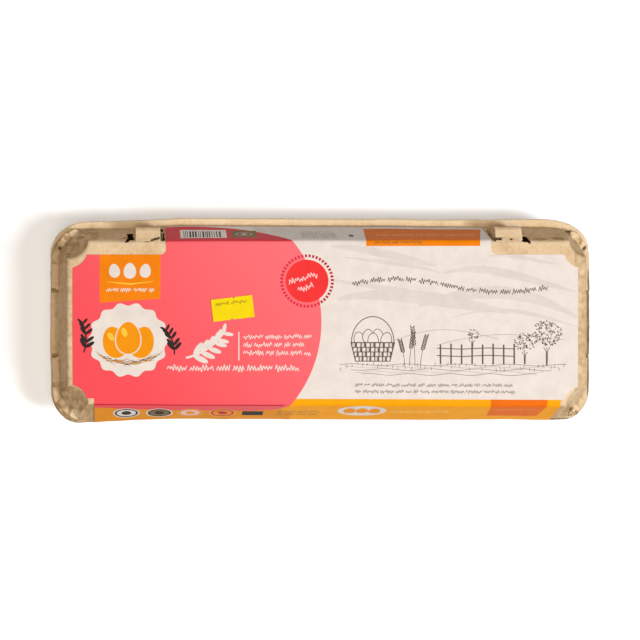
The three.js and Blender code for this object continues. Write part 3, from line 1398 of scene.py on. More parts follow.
@dataclass
class TrayRim:
    """The tray's rim with its lip and hinge strip."""

    material: Material
    thickness: float = 5.5
    corner: float = 18.0
    ring_width: float = 17.0
    hinge_half: float = 118.0
    voxel: float = 0.65
    unevenness: Points = ((16.0, 0.26), (5.0, 0.18), (2.2, 0.1), (1.3, 0.07))

    def _ring(self) -> BMesh:
        """The flat rim with rounded edges, open in the middle.

        Returns:
            The rim as a closed solid.
        """
        top = SIZES.parting - SIZES.gap / 2
        half_length = SIZES.length / 2
        half_width = (SIZES.rim_width + SIZES.lip) / 2

        def ring(height: float, inset: float) -> tuple[float, list[Point]]:
            """One level of the rim's outer edge, which lies in from its widest line by the inset."""
            corner = (Cut.ROUND, self.corner - inset / 2, self.corner - inset / 2, 12)
            return height, outline(half_length - inset, half_width - inset, *corner, SIZES.corner_sizes)

        levels = ((top - self.thickness, 3.0), (top - 2.7, 0.4), (top - 0.9, 0.0), (top, 0.7))
        bm = bmesh.new()
        loft(bm, [ring(height, inset) for height, inset in levels])
        bmesh.ops.translate(bm, vec=(0.0, SIZES.lip / 2, 0.0), verts=bm.verts)
        middle = bmesh.new()
        inner_length = half_length - self.ring_width
        inner_width = SIZES.rim_width / 2 - self.ring_width
        hole = outline(inner_length, inner_width, Cut.ROUND, 8.0, 8.0, 6)
        loft(middle, [(top - self.thickness - 2, hole), (top + 2, hole)])
        return carved(bm, middle)

    def build(self) -> Object:
        """Makes the rim.

        Returns:
            The rim's object, which stands for the CAD tray with the tabs and the cups.
        """
        bm = self._ring()
        back, parting = -SIZES.rim_width / 2, SIZES.parting
        low = (-self.hinge_half, back + 0.1, parting - 2.5)
        block(bm, low, (self.hinge_half, back + 1.6, parting + 2.2), soften=0.4)
        bmesh.ops.recalc_face_normals(bm, faces=bm.faces)
        bm = remeshed(bm, self.voxel, 2)
        roughened(bm, self.unevenness, 7.7)
        PRESSING.shape(bm)
        return pulp_piece(marked(bm), "tray_rim", self.material, "tray")


@dataclass
class LockTabs:
    """The tray's two lock tabs, which stand behind the lid's wall and hook out through its windows."""

    material: Material
    spans: tuple[Point, Point] = ((-104.6, -90.7), (90.6, 106.1))
    reach: float = 53.2
    sill: float = 46.4
    top: float = 67.5
    slits: tuple[Tear, ...] = (
        Tear((-94.2, 45.3, 68.4), (5.6, 0.8, 4.6), 13.0),
        Tear((-98.3, 44.3, 69.4), (4.4, 0.8, 2.0), 13.0),
        Tear((92.6, 45.4, 68.4), (3.8, 1.0, 4.6), 0.0),
        Tear((99.6, 45.3, 68.6), (1.8, 0.8, 4.4), -5.0),
        Tear((104.4, 44.6, 68.8), (3.6, 0.7, 4.4), -16.0),
    )
    foot_step: tuple[Point, Point] = ((-91.6, 46.4), (-88.9, 52.2))
    voxel: float = 0.36
    unevenness: Points = ((9.0, 0.22), (3.5, 0.16), (1.4, 0.08))

    def _hook(self, bm: BMesh, low: float, high: float) -> None:
        """Adds one tab's plain form.

        Args:
            bm: The mesh to add it to.
            low: Its left side's place along the carton.
            high: Its right side's.
        """
        section = [
            (38.0, SIZES.parting - 3),
            (46.5, SIZES.parting - 3),
            (46.5, self.sill),
            (self.reach - 0.8, self.sill),
            (self.reach, self.sill + 2),
            (self.reach - 0.4, self.top - 5.0),
            (self.reach - 1.1, self.top - 2.6),
            (self.reach - 2.6, self.top - 1.1),
            (46.2, self.top + 0.3),
            (44.4, self.top + 1.7),
            (43.2, self.top + 2.2),
            (38.0, self.top + 2.2),
        ]
        verts = prism(bm, section, low, high)
        middle = (low + high) / 2
        for vert in verts:
            if vert.co.z > self.sill + 3:
                vert.co.x = middle + (vert.co.x - middle) * 0.96

    def _darkness(self, place: Vector) -> float:
        """How dark the painted shade is: one and a half inside the slits, and nought elsewhere."""
        # Painted shade inside the slits.
        behind = place.y < 49.0 and 60.0 < place.z < self.top + 0.5
        return 1.5 if behind and any(slit.holds(place) for slit in self.slits) else 0.0

    def build(self) -> Object:
        """Makes the tabs.

        Returns:
            The tabs' object, which stands for the CAD tray with the rim and the cups.
        """
        bm = bmesh.new()
        for low, high in self.spans:
            self._hook(bm, low, high)
        (left, foot), (right, head) = self.foot_step
        block(bm, (left, 43.0, foot), (right, 50.3, head), soften=0.3)
        cutters = bmesh.new()
        for slit in self.slits:
            slit.cut(cutters)
        bm = remeshed(carved(bm, cutters), self.voxel, 1)
        roughened(bm, self.unevenness, 2.9)
        mark_dark(bm, self._darkness)
        PRESSING.shape(bm)
        return pulp_piece(marked(bm), "lock_tabs", self.material, "tray")


@dataclass
class TrayCups:
    """The twelve egg cups and the saddle of pulp that joins them."""

    material: Material
    columns: int = 6
    rows: int = 2
    pitch: float = 47.5
    foot: float = 13.5
    top: float = 23.4
    bulge: float = 0.72
    roundness: float = 0.62
    shell_top: float = 35.5
    foot_round: float = 1.2
    voxel: float = 1.1
    unevenness: Points = ((18.0, 0.3), (5.0, 0.18), (2.6, 0.1))

    def _cup(self, bm: BMesh, x: float, y: float) -> None:
        """Adds one tapered cup.

        Args:
            bm: The mesh to add it to.
            x: Its middle along the carton.
            y: Its middle across it.
        """
        steps = 9

        def ring(level: float, half: float) -> tuple[float, list[Point]]:
            """One level of the cup's side."""
            points = outline(half, half, Cut.ROUND, half * self.roundness, half * self.roundness, 6)
            return level, [(px + x, py + y) for px, py in points]

        rings = [ring(0.0, self.foot - self.foot_round)]
        for i in range(steps + 1):
            share = i / steps
            half = self.foot + (self.top - self.foot) * share**self.bulge
            rings.append(ring(self.foot_round + (self.shell_top - self.foot_round) * share, half))
        loft(bm, rings)

    def _saddle(self, bm: BMesh) -> None:
        """Adds the pulp between the cups, higher than their feet.

        Args:
            bm: The mesh to add it to.
        """

        def ring(level: float, wider: float) -> tuple[float, list[Point]]:
            """One level of the saddle's side."""
            return level, outline(131.0 + wider, 37.0 + wider, Cut.ROUND, 20.0, 20.0, 6)

        loft(bm, [ring(18.0, -3.0), ring(21.0, 0.0), ring(self.shell_top, 8.0)])

    def build(self) -> Object:
        """Makes the cups.

        Returns:
            The cups' object, which stands for the CAD tray with the rim.
        """
        bm = bmesh.new()
        for row in range(self.rows):
            for column in range(self.columns):
                x = (column - (self.columns - 1) / 2) * self.pitch
                self._cup(bm, x, (row - (self.rows - 1) / 2) * self.pitch)
        self._saddle(bm)
        bm = remeshed(bm, self.voxel, 2)
        roughened(bm, self.unevenness, 5.3)
        for vert in bm.verts:
            if vert.co.z < 0.6:
                vert.co.z = max(vert.co.z, 0.0)
        bm = marked(bm)
        roof = self.shell_top - 0.7
        plain_patch(bm, lambda c: c.z > roof and abs(c.x) < 120 and abs(c.y) < 26)
        return pulp_piece(bm, "tray_cups", self.material, "tray")


# --- Printed sheets ---


def arc(centre: Point, radii: Point, start: float, end: float, steps: int) -> list[Point]:
    """Points round a stretch of an ellipse, which starts and ends at angles in degrees."""
    turns = (math.radians(start + (end - start) * i / steps) for i in range(steps + 1))
    return [(centre[0] + radii[0] * math.cos(t), centre[1] + radii[1] * math.sin(t)) for t in turns]


def curve(controls: Sequence[Point], steps: int) -> list[Point]:
    """Points along a Bezier curve.

    Args:
        controls: Its control points.
        steps: How many sides it has.

    Returns:
        The points.
    """
    path = []
    for i in range(steps + 1):
        t = i / steps
        points = list(controls)
        while len(points) > 1:
            pairs = zip(points, points[1:])
            points = [((1 - t) * a[0] + t * b[0], (1 - t) * a[1] + t * b[1]) for a, b in pairs]
        path += points
    return path


@dataclass
class PrintedShape:
    """One closed shape in one ink, in the sheet's flat coordinates."""

    ink: Ink
    points: list[Point]


@dataclass
class Artwork:
    """Shapes in the order that they are printed, so that a later one lies over an earlier one."""

    shapes: list[PrintedShape] = field(default_factory=list)

    def area(self, ink: Ink, points: Sequence[Point]) -> None:
        """Prints a filled outline."""
        self.shapes.append(PrintedShape(ink, list(points)))

    def bar(self, ink: Ink, low: Point, high: Point) -> None:
        """Prints an upright rectangle between two corners."""
        self.area(ink, [low, (high[0], low[1]), high, (low[0], high[1])])

    def disc(
        self,
        ink: Ink,
        centre: Point,
        radii: Point,
        turn: float = 0.0,
        steps: int = 36,
        egg: float = 0.0,
    ) -> None:
        """Prints an ellipse, or an egg with its pointed end up.

        Args:
            ink: Its ink.
            centre: Its middle.
            radii: Its half sizes across and up.
            turn: How far it is turned, in degrees.
            steps: Its number of sides.
            egg: How much narrower the top is than the foot.
        """
        cos, sin = math.cos(math.radians(turn)), math.sin(math.radians(turn))
        points = []
        for i in range(steps):
            t = 2 * math.pi * i / steps
            x = radii[0] * math.cos(t) * (1 - egg * math.sin(t))
            y = radii[1] * math.sin(t)
            points.append((centre[0] + x * cos - y * sin, centre[1] + x * sin + y * cos))
        self.area(ink, points)

    def stroke(self, ink: Ink, path: Sequence[Point], width: float, taper: bool = False) -> None:
        """Prints a line of even width along a path, or one that thins towards both ends.

        Args:
            ink: Its ink.
            path: The points along its middle.
            width: Its width.
            taper: Whether its ends are fine.
        """
        left: list[Point] = []
        right: list[Point] = []
        last = len(path) - 1
        for i, (x, y) in enumerate(path):
            ax, ay = path[max(i - 1, 0)]
            bx, by = path[min(i + 1, last)]
            length = math.hypot(bx - ax, by - ay) or 1.0
            half = width / 2
            if taper:
                half *= 0.25 + 0.75 * math.sin(math.pi * i / last)
            nx, ny = -(by - ay) / length * half, (bx - ax) / length * half
            left.append((x + nx, y + ny))
            right.append((x - nx, y - ny))
        self.area(ink, right + left[::-1])

    def words(
        self,
        ink: Ink,
        start: Point,
        end: Point,
        height: float,
        word: float,
        seed: int,
        rise: Callable[[float], float] = lambda at: 0.0,
    ) -> None:
        """Prints a line of small zigzags in groups as long as words, for small print.

        Args:
            ink: Its ink.
            start: The left end of the line's middle.
            end: Its right end.
            height: The zigzags' usual height.
            word: A group's usual length.
            seed: What the uneven lengths are drawn from.
            rise: How far the line stands up at a distance from its start.
        """
        draw = random.Random(seed)
        total = math.hypot(end[0] - start[0], end[1] - start[1])
        ux, uy = (end[0] - start[0]) / total, (end[1] - start[1]) / total
        at = 0.0
        while at < total - word * 0.3:
            size = min(word * draw.uniform(0.4, 1.4), total - at)
            steps = max(4, round(size / (height * 0.29)))
            path = []
            for i in range(steps + 1):
                a = at + size * (i + draw.uniform(-0.2, 0.2)) / steps
                b = height * (0.5 if i % 2 else -0.5) * draw.choice((0.3, 0.8, 1.0, 1.0, 1.5))
                b += rise(a)
                path.append((start[0] + a * ux - b * uy, start[1] + a * uy + b * ux))
            for here, there in zip(path, path[1:]):
                self.stroke(ink, [here, there], height * 0.18)
            at += size + height * 0.6


@dataclass
class PrintedSheet:
    """A thin sheet of paper whose print is cut into its mesh, so that each ink has its own faces."""

    name: str
    slot: str
    node: str
    outline: list[Point]
    artwork: Artwork
    ground: Ink
    thickness: float
    columns: Sequence[float]
    rows: Sequence[float]

    def _flat(self) -> tuple[list[Vector], list[list[int]], list[Ink]]:
        """Cuts the sheet along every printed edge while it is flat.

        Returns:
            The points, the triangles as point numbers, and each triangle's ink.
        """
        coords: list[Vector] = []
        faces: list[list[int]] = []
        inks: list[Ink] = []
        for shape in (PrintedShape(self.ground, self.outline), *self.artwork.shapes):
            pairs = zip(shape.points, shape.points[1:] + shape.points[:1])
            turn = sum(a[0] * b[1] - b[0] * a[1] for a, b in pairs)
            points = shape.points if turn > 0 else shape.points[::-1]
            faces.append(list(range(len(coords), len(coords) + len(points))))
            coords += [Vector(p) for p in points]
            inks.append(shape.ink)
        edges: list[tuple[int, int]] = []
        low = Vector((min(p[0] for p in self.outline) - 1, min(p[1] for p in self.outline) - 1))
        high = Vector((max(p[0] for p in self.outline) + 1, max(p[1] for p in self.outline) + 1))
        lines = [((x, low.y), (x, high.y)) for x in self.columns]
        lines += [((low.x, y), (high.x, y)) for y in self.rows]
        for line in lines:
            edges.append((len(coords), len(coords) + 1))
            coords += [Vector(end) for end in line]
        verts, _, triangles, _, _, owners = delaunay_2d_cdt(coords, edges, faces, 0, 1e-4)
        kept = [(tri, inks[max(owner)]) for tri, owner in zip(triangles, owners) if 0 in owner]
        return verts, [tri for tri, _ in kept], [ink for _, ink in kept]

    def build(self, wrap: Callable[[float, float], Laid], inks: InkShelf) -> Object:
        """Makes the sheet.

        Args:
            wrap: Gives the place and the outward direction of a flat point.
            inks: Where the inks' materials are.

        Returns:
            The sheet's object, which stands for its CAD node.
        """
        flat, triangles, colours = self._flat()
        used = sorted({i for tri in triangles for i in tri})
        palette = [Ink.PAPER, *sorted(set(colours) - {Ink.PAPER}, key=lambda ink: ink.name)]
        bm = bmesh.new()
        front: dict[int, BMVert] = {}
        outward: list[Vector] = []
        for i in used:
            place, normal = wrap(flat[i].x, flat[i].y)
            front[i] = bm.verts.new(place)
            outward.append(normal)
        for tri, ink in zip(triangles, colours):
            face = bm.faces.new([front[i] for i in tri])
            face.material_index = palette.index(ink)
        bm.verts.index_update()
        result = bmesh.ops.duplicate(bm, geom=[*bm.verts, *bm.edges, *bm.faces])
        twins = result["vert_map"]
        back_faces = [item for item in result["geom"] if isinstance(item, bmesh.types.BMFace)]
        rim = [edge for edge in bm.edges if edge.is_boundary]
        for vert, normal in zip(front.values(), outward):
            twins[vert].co -= normal * self.thickness
        bmesh.ops.reverse_faces(bm, faces=back_faces)
        for face in back_faces:
            face.material_index = 0
        sides = bmesh.ops.bridge_loops(bm, edges=rim)["faces"]
        for face in sides:
            face.material_index = 0
            for edge in face.edges:
                edge.smooth = False
        bmesh.ops.recalc_face_normals(bm, faces=bm.faces)
        obj = finished(bm, self.name, [inks.material(ink) for ink in palette])
        return stood_in(obj, self.node, self.slot)


@dataclass
class WrapSection:
    """The line that the label follows across the lid, from the middle of the top down a long wall."""

    profile: list[Point]
    offset: float

    def __post_init__(self) -> None:
        """Rounds the fold, moves the line out by the offset and measures along it."""
        foot = self.profile[:4][::-1]
        wall_top, flat_edge = self.profile[4], self.profile[6]
        corner = (wall_top[0] - 0.45, SIZES.height + 0.05)
        line = [(0.0, SIZES.height), *curve((flat_edge, corner, wall_top), 6), *foot]
        base = [Vector(point) for point in line]
        self.normals: list[Vector] = []
        for i in range(len(base)):
            before = base[i] - base[max(i - 1, 0)]
            after = base[min(i + 1, len(base) - 1)] - base[i]
            along = before.normalized() + after.normalized()
            self.normals.append(Vector((-along.y, along.x)).normalized())
        self.points = [p + n * self.offset for p, n in zip(base, self.normals)]
        self.reach = [0.0]
        for a, b in zip(self.points, self.points[1:]):
            self.reach.append(self.reach[-1] + (b - a).length)

    def at(self, distance: float) -> Laid:
        """The place and outward direction at a distance along the line.

        Args:
            distance: How far from the middle of the top.

        Returns:
            Both as across and up.
        """
        i = next((i for i, end in enumerate(self.reach[1:]) if distance <= end), len(self.reach) - 2)
        t = (distance - self.reach[i]) / (self.reach[i + 1] - self.reach[i])
        normal = self.normals[i].lerp(self.normals[i + 1], t).normalized()
        return self.points[i].lerp(self.points[i + 1], t), normal

    def down_to(self, height: float) -> float:
        """The distance along the line at which the wall reaches a height.

        Args:
            height: The height.

        Returns:
            The distance from the middle of the top.
        """
        for i in range(len(self.points) - 1):
            a, b = self.points[i], self.points[i + 1]
            if a.y > height >= b.y:
                return self.reach[i] + (self.reach[i + 1] - self.reach[i]) * (a.y - height) / (a.y - b.y)
        return self.reach[-1]

    def wrap(self, u: float, v: float) -> Laid:
        """Puts a flat point of the label on the lid.

        Args:
            u: Its place along the carton.
            v: Its distance over the lid, positive towards the lock side.

        Returns:
            Its place and its outward direction.
        """
        side = 1.0 if v >= 0 else -1.0
        place, normal = self.at(abs(v))
        outward = Vector((0.0, side * normal.x, normal.y))
        wave = 0.1 * math.sin(u / 21.0 + 0.7) * math.cos(v / 13.0) + 0.07 * math.sin(u / 8.5 - v / 11.0)
        return PRESSING.moved(Vector((u, side * place.x, place.y)) + outward * wave), outward


@dataclass
class LabelPrint:
    """The label's print: fields of colour, generic drawings and zigzags for words.

    Its places are along the carton and over the lid, positive towards the lock side.
    """

    section: WrapSection
    field: Point = (-74.8, 0.5)
    field_radius: float = 70.0
    bleed: float = 2.0

    def __post_init__(self) -> None:
        """Starts with a clean sheet."""
        self.art = Artwork()
        self.flap = self.section.down_to(SIZES.label_foot) + self.bleed
        self.draw = random.Random(11)

    def grounds(self) -> None:
        """Prints the large fields: yellow along the hinge, coral with its round edge, orange panels, with
        darker copies on the long walls and a dark red line at the hinge fold as painted shade.
        """
        art = self.art
        art.area(Ink.YELLOW, [(-40, -41.2), (-40, -self.flap), (127, -self.flap), (127, -41.2)])
        centre, radius = self.field, self.field_radius
        edge = arc(centre, (radius, radius), -90.0, 90.0, 60)
        fold = self.section.reach[3]
        # Painted shade: darker paper on the lock wall.
        art.bar(Ink.WALL_PAPER, (-40.0, fold + 0.4), (90.0, self.flap))
        art.area(Ink.CORAL, [(-138, -70), *edge, (-138, 71)])
        # Painted shade: darker coral on the lock wall, beyond the fold.
        upper = [point for point in edge if point[1] > fold]
        reach = math.sqrt(radius**2 - (fold - centre[1]) ** 2)
        art.area(Ink.WALL_CORAL, [(-138, fold), (centre[0] + reach, fold), *upper, (-138, 71)])
        # Painted shade: darker yellow on the hinge wall's left part.
        shade = [(-128, -48.6), (-118, -50.6), (-104, -52.6), (-80, -54.0), (-44, -54.8)]
        shade += [(-31, -52.6), (-27, -50.5), (-20, -58), (-20, -self.flap), (-128, -self.flap)]
        art.area(Ink.WALL_YELLOW, shade)
        art.area(Ink.ORANGE, [(-123.2, 10.7), (-91.0, 13.0), (-91.0, 39.0), (-123.2, 39.0)])
        foot = self.section.down_to(48.6)
        art.area(Ink.ORANGE, [(19.4, 41.6), (81.8, 41.6), (82.0, fold + 1.0), (19.5, fold + 1.0)])
        # Painted shade: darker orange on the lock wall below the panel's fold.
        art.area(Ink.WALL_ORANGE, [(19.5, fold + 0.6), (82.0, fold + 0.6), (86.4, foot), (20.6, foot)])
        # Painted shade: a dark red line along the hinge fold.
        art.stroke(Ink.CREASE, [(-128, -fold - 0.9), (-70, -fold - 1.2), (-25, -fold - 0.9)], 1.1)
        art.area(Ink.DEEP_ORANGE, [(87.4, -41.2), (119.0, -41.2), (117.0, -64.0), (89.0, -64.0)])

    def sky(self) -> None:
        """Prints the faint bands of cloud over the pale half."""
        bands = (
            ((0, 41.5), (20, 41), (42, 34), (58, 31), 4.6),
            ((8, 35.5), (28, 33), (44, 32), (60, 27), 2.6),
            ((-4, 24), (20, 20), (42, 17), (62, 14.5), 2.8),
            ((4, 13), (34, 19), (66, 11), (98, 6), 7.4),
            ((48, 9), (80, 20), (106, 20), (135, 3), 7.0),
            ((62, 27), (84, 33), (106, 24), (134, 17), 4.6),
            ((66, 3), (96, 12), (118, 3), (135, -2), 2.2),
            ((86, 36), (100, 38), (112, 33), (124, 32), 2.4),
        )
        for *controls, width in bands:
            self.art.stroke(Ink.HAZE, curve(controls, 24), width, taper=True)

    def small_print(self) -> None:
        """Prints the zigzags that stand for lines of words on the lid's top."""
        art = self.art
        art.bar(Ink.PAPER, (-49.5, -20.5), (-48.9, -5.0))
        for row, end in enumerate((-9.6, -11.0, -10.6)):
            v = -7.6 - 4.4 * row
            art.words(Ink.PAPER, (-46.8, v), (end, v), 2.1, 8.0, 20 + row)
        art.words(Ink.PAPER, (-87.4, -24.8), (-13.4, -24.8), 2.7, 11.0, 30)

        def swing(at: float) -> float:
            """The long line's soft wave."""
            return 3.5 * math.cos(2 * math.pi * (at - 24.0) / 116.0)

        art.words(Ink.SKETCH, (11.8, 20.2), (122.1, 20.2), 2.2, 10.0, 40, swing)
        art.words(Ink.FAINT_TYPE, (13.4, -33.6), (99.6, -33.6), 1.5, 7.0, 90)
        art.words(Ink.FAINT_TYPE, (13.4, -37.1), (102.6, -37.1), 1.5, 7.0, 91)

    def egg_panel(self) -> None:
        """Prints three plain eggs, a flourish and a line of zigzags on the orange panel."""
        art = self.art
        for i, (u, size) in enumerate(((-115.4, 0.88), (-107.2, 1.0), (-99.0, 0.88))):
            art.disc(Ink.PAPER, (u, 28.2), (3.3 * size, 4.3 * size), turn=8 - 8 * i, egg=0.16)
        art.stroke(Ink.GOLD_LIGHT, [(-119.5, 22.2), (-107, 20.9), (-94.5, 22.4)], 0.9, taper=True)
        art.words(Ink.PAPER, (-119.6, 17.8), (-94.4, 17.8), 1.9, 7.0, 61)

    def medallion(self) -> None:
        """Prints a white scalloped round with golden eggs on straw."""
        art = self.art
        centre = (-108.0, -9.6)
        rim = []
        sides, scallops, straws = 112, 14, 46
        for i in range(sides):
            t = 2 * math.pi * i / sides
            radius = 19.6 + 0.9 * math.cos(scallops * t)
            rim.append((centre[0] + radius * 1.05 * math.cos(t), centre[1] + radius * math.sin(t)))
        art.area(Ink.PAPER, rim)
        for i in range(straws):
            t = i / (straws - 1)
            u = centre[0] - 14.0 + 28.0 * t
            v = centre[1] - 8.6 - 3.4 * math.sin(math.pi * t) + self.draw.uniform(-0.9, 0.9)
            reach = self.draw.uniform(2.4, 4.2)
            lean = self.draw.uniform(-0.9, 0.9) + (0.9 - 1.8 * t)
            tip = reach * lean * 0.5
            path = [(u - reach, v + tip), (u, v - 0.5), (u + reach, v - tip)]
            art.stroke((Ink.SKETCH, Ink.GOLD, Ink.OLIVE)[i % 3], path, 0.42, taper=True)
        for u, v, turn in ((-7.2, -1.2, 16), (7.2, -1.2, -16), (0.0, 1.2, 0)):
            place = (centre[0] + u, centre[1] + v)
            art.disc(Ink.PAPER, place, (7.0, 9.3), turn, egg=0.14, steps=48)
            art.disc(Ink.GOLD, place, (6.4, 8.7), turn, egg=0.14, steps=48)
            art.disc(Ink.GOLD_LIGHT, (place[0] - 2.0, place[1] + 3.0), (1.5, 2.6), turn + 18, steps=20)

    def sprig(self, root: Point, lean: float, length: float, leaf: float, ink: Ink, pairs: int) -> None:
        """Prints a leafy sprig.

        Args:
            root: Where its stem starts.
            lean: Its direction in degrees, anticlockwise from the carton's length.
            length: The stem's length.
            leaf: A leaf's length.
            ink: Its ink.
            pairs: How many pairs of leaves it has.
        """
        steps, bend, spread = 12, 24.0, 42.0
        stem = []
        for i in range(steps + 1):
            t = i / steps
            angle = math.radians(lean + bend * (t - 0.5))
            stem.append((root[0] + length * t * math.cos(angle), root[1] + length * t * math.sin(angle)))
        self.art.stroke(ink, stem, leaf * 0.13)
        for i in range(pairs):
            t = (i + 1) / (pairs + 0.4)
            u, v = stem[min(steps, round(steps * t))]
            size = leaf * (1.0 - 0.4 * t) * 0.5
            for side in (-1, 1):
                turn = lean + bend * (t - 0.5) + side * spread
                angle = math.radians(turn)
                middle = (u + size * math.cos(angle), v + size * math.sin(angle))
                self.art.disc(ink, middle, (size, size * 0.36), turn, steps=16)

    def sprigs(self) -> None:
        """Prints the dark sprigs beside the medallion and the large pale one to its right."""
        self.sprig((-131.6, -16.4), 82, 17.0, 6.2, Ink.BLACK, 5)
        self.sprig((-83.6, -17.4), 98, 15.0, 6.0, Ink.BLACK, 5)
        self.sprig((-77.4, -19.2), 24, 26.0, 9.0, Ink.PAPER, 6)

    def badge(self) -> None:
        """Prints the red round with its dashed ring and two tilted lines of zigzags."""
        art = self.art
        centre = (-12.6, 22.6)
        art.disc(Ink.RED, centre, (11.6, 11.6), steps=64)
        dashes = 44
        step = 360 / dashes
        for i in range(dashes):
            start, end = step * i, step * (i + 0.6)
            ring = arc(centre, (12.9, 12.9), start, end, 3)
            over_coral = math.dist(ring[0], self.field) < self.field_radius
            ring += arc(centre, (14.5, 14.5), end, start, 3)
            art.area(Ink.RING_ROSE if over_coral else Ink.RING_RED, ring)
        tilt = math.radians(15)
        for row, (half, up) in enumerate(((9.6, 1.9), (6.0, -3.1))):
            mid = (centre[0] - up * math.sin(tilt), centre[1] + up * math.cos(tilt))
            dx, dy = half * math.cos(tilt), half * math.sin(tilt)
            start, end = (mid[0] - dx, mid[1] - dy), (mid[0] + dx, mid[1] + dy)
            art.words(Ink.ROSE, start, end, 2.6, 12.0, 70 + row)

    def _tree(self, foot: Point, size: float) -> None:
        """Draws a round tree of short leaf strokes.

        Args:
            foot: Where it stands.
            size: The radius of its crown.
        """
        art = self.art
        top = foot[1] + size * 2.3
        for lean in (-0.45, 0.0, 0.4):
            bend = (foot[0] + lean, foot[1] + size)
            path = [(foot[0] + lean * 0.6, foot[1]), bend, (foot[0] + lean * 4, top - size)]
            art.stroke(Ink.SKETCH, path, 0.36)
        for _ in range(int(size * size * 2.6)):
            angle = self.draw.uniform(0, 2 * math.pi)
            radius = size * math.sqrt(self.draw.random())
            u = foot[0] + radius * math.cos(angle) * 1.1
            v = top + radius * math.sin(angle) * 0.9
            turn = self.draw.uniform(0, 180)
            ink = Ink.SKETCH if self.draw.random() < 0.72 else Ink.FAINT
            art.disc(ink, (u, v), (0.75, 0.28), turn, steps=8)

    def _basket(self, middle: Point) -> None:
        """Draws a woven basket of eggs.

        Args:
            middle: The middle of its rim.
        """
        art = self.art
        u, v = middle
        eggs = ((-7.4, 3.0, 12), (-2.6, 4.4, -6), (2.8, 4.6, 8), (7.4, 2.8, -14), (0.2, 2.4, 0))
        for du, dv, turn in eggs:
            art.disc(Ink.SKETCH, (u + du, v + dv), (3.1, 3.9), turn, steps=24, egg=0.12)
            art.disc(Ink.PAPER, (u + du, v + dv), (2.7, 3.5), turn, steps=24, egg=0.12)
        side = [(u - 12.2, v + 1.2), (u - 9.6, v - 9.4), (u + 9.6, v - 9.4), (u + 12.2, v + 1.2)]
        art.area(Ink.SKETCH, side)
        strips = 9
        for row in range(4):
            half, top = 11.4 - 0.62 * row, v + 0.6 - 2.5 * row
            for i in range(strips):
                left = u - half + (2 * half) * i / strips + 0.3
                ink, share = (Ink.PAPER, 0.72) if (i + row) % 2 else (Ink.HAZE, 0.5)
                art.bar(ink, (left, top - 2.0), (left + 2 * half / strips * share, top))
        art.stroke(Ink.SKETCH, arc((u, v + 1.0), (11.6, 14.0), 0.0, 180.0, 18), 0.5)

    def _wheat(self, foot: Point, lean: float, height: float) -> None:
        """Draws one ear of wheat.

        Args:
            foot: Where its stalk starts.
            lean: How far it leans to the right at its tip.
            height: How tall it is.
        """
        art = self.art
        path = [(foot[0] + lean * (i / 8) ** 1.6, foot[1] + height * i / 8) for i in range(9)]
        art.stroke(Ink.SKETCH, path, 0.32)
        tip_turn = math.degrees(math.atan2(height, lean * 1.6))
        for i in range(7):
            t = 0.56 + 0.44 * i / 6
            u, v = foot[0] + lean * t**1.6, foot[1] + height * t
            for side in (-1, 1):
                art.disc(Ink.SKETCH, (u + side * 0.75, v), (0.95, 0.34), tip_turn - side * 26, steps=10)

    def landscape(self) -> None:
        """Prints the line drawing: a basket of eggs, wheat, a fence, hills and trees."""
        art = self.art
        steps = 30
        for base, low, high, rise, bend in ((-10.6, 32, 92, 7.0, 2.0), (-12.0, 58, 128, 5.0, 3.1)):
            path = []
            for i in range(steps + 1):
                t = i / steps
                swell = rise * math.sin(math.pi * t) * (1 - 0.3 * t)
                path.append((low + (high - low) * t, base + swell + bend * t))
            art.stroke(Ink.FAINT, path, 0.3)
        for row in range(5):
            path = []
            for i in range(steps + 1):
                ripple = 0.5 * math.sin(i * 0.9 + row * 1.7)
                path.append((5 + row * 3 + (124 - row * 7) * i / steps, -22.6 - 1.3 * row + ripple))
            art.stroke(Ink.FAINT if row % 2 else Ink.SKETCH, path, 0.24)
        for rail in (-13.6, -17.6):
            art.stroke(Ink.SKETCH, [(58, rail), (72, rail - 0.5), (86, rail + 0.2), (101, rail - 0.3)], 0.5)
        for i in range(8):
            u = 59.5 + 5.8 * i
            art.bar(Ink.SKETCH, (u, -22.2), (u + 0.9, -11.6 + 0.5 * (i % 2)))
        self._basket((23.0, -11.6))
        for foot, lean, height in ((43, 2.2, 18), (46, -1.4, 21), (49, 3.4, 16.5), (40.4, -2.6, 14)):
            self._wheat((foot, -23.2), lean, height)
        self._tree((118.5, -22.8), 7.6)
        self._tree((106.4, -22.2), 5.2)
        self._tree((77.5, -13.4), 3.1)
        blades = 46
        for i in range(blades):
            u = 6 + 122 * i / (blades - 1) + self.draw.uniform(-1, 1)
            v = -22.8 - self.draw.uniform(0, 3.4)
            tip = (u + self.draw.uniform(-0.6, 1.0), v + 1.8)
            art.stroke(Ink.SKETCH, [(u, v), (u + 0.3, v + 0.9), tip], 0.26)

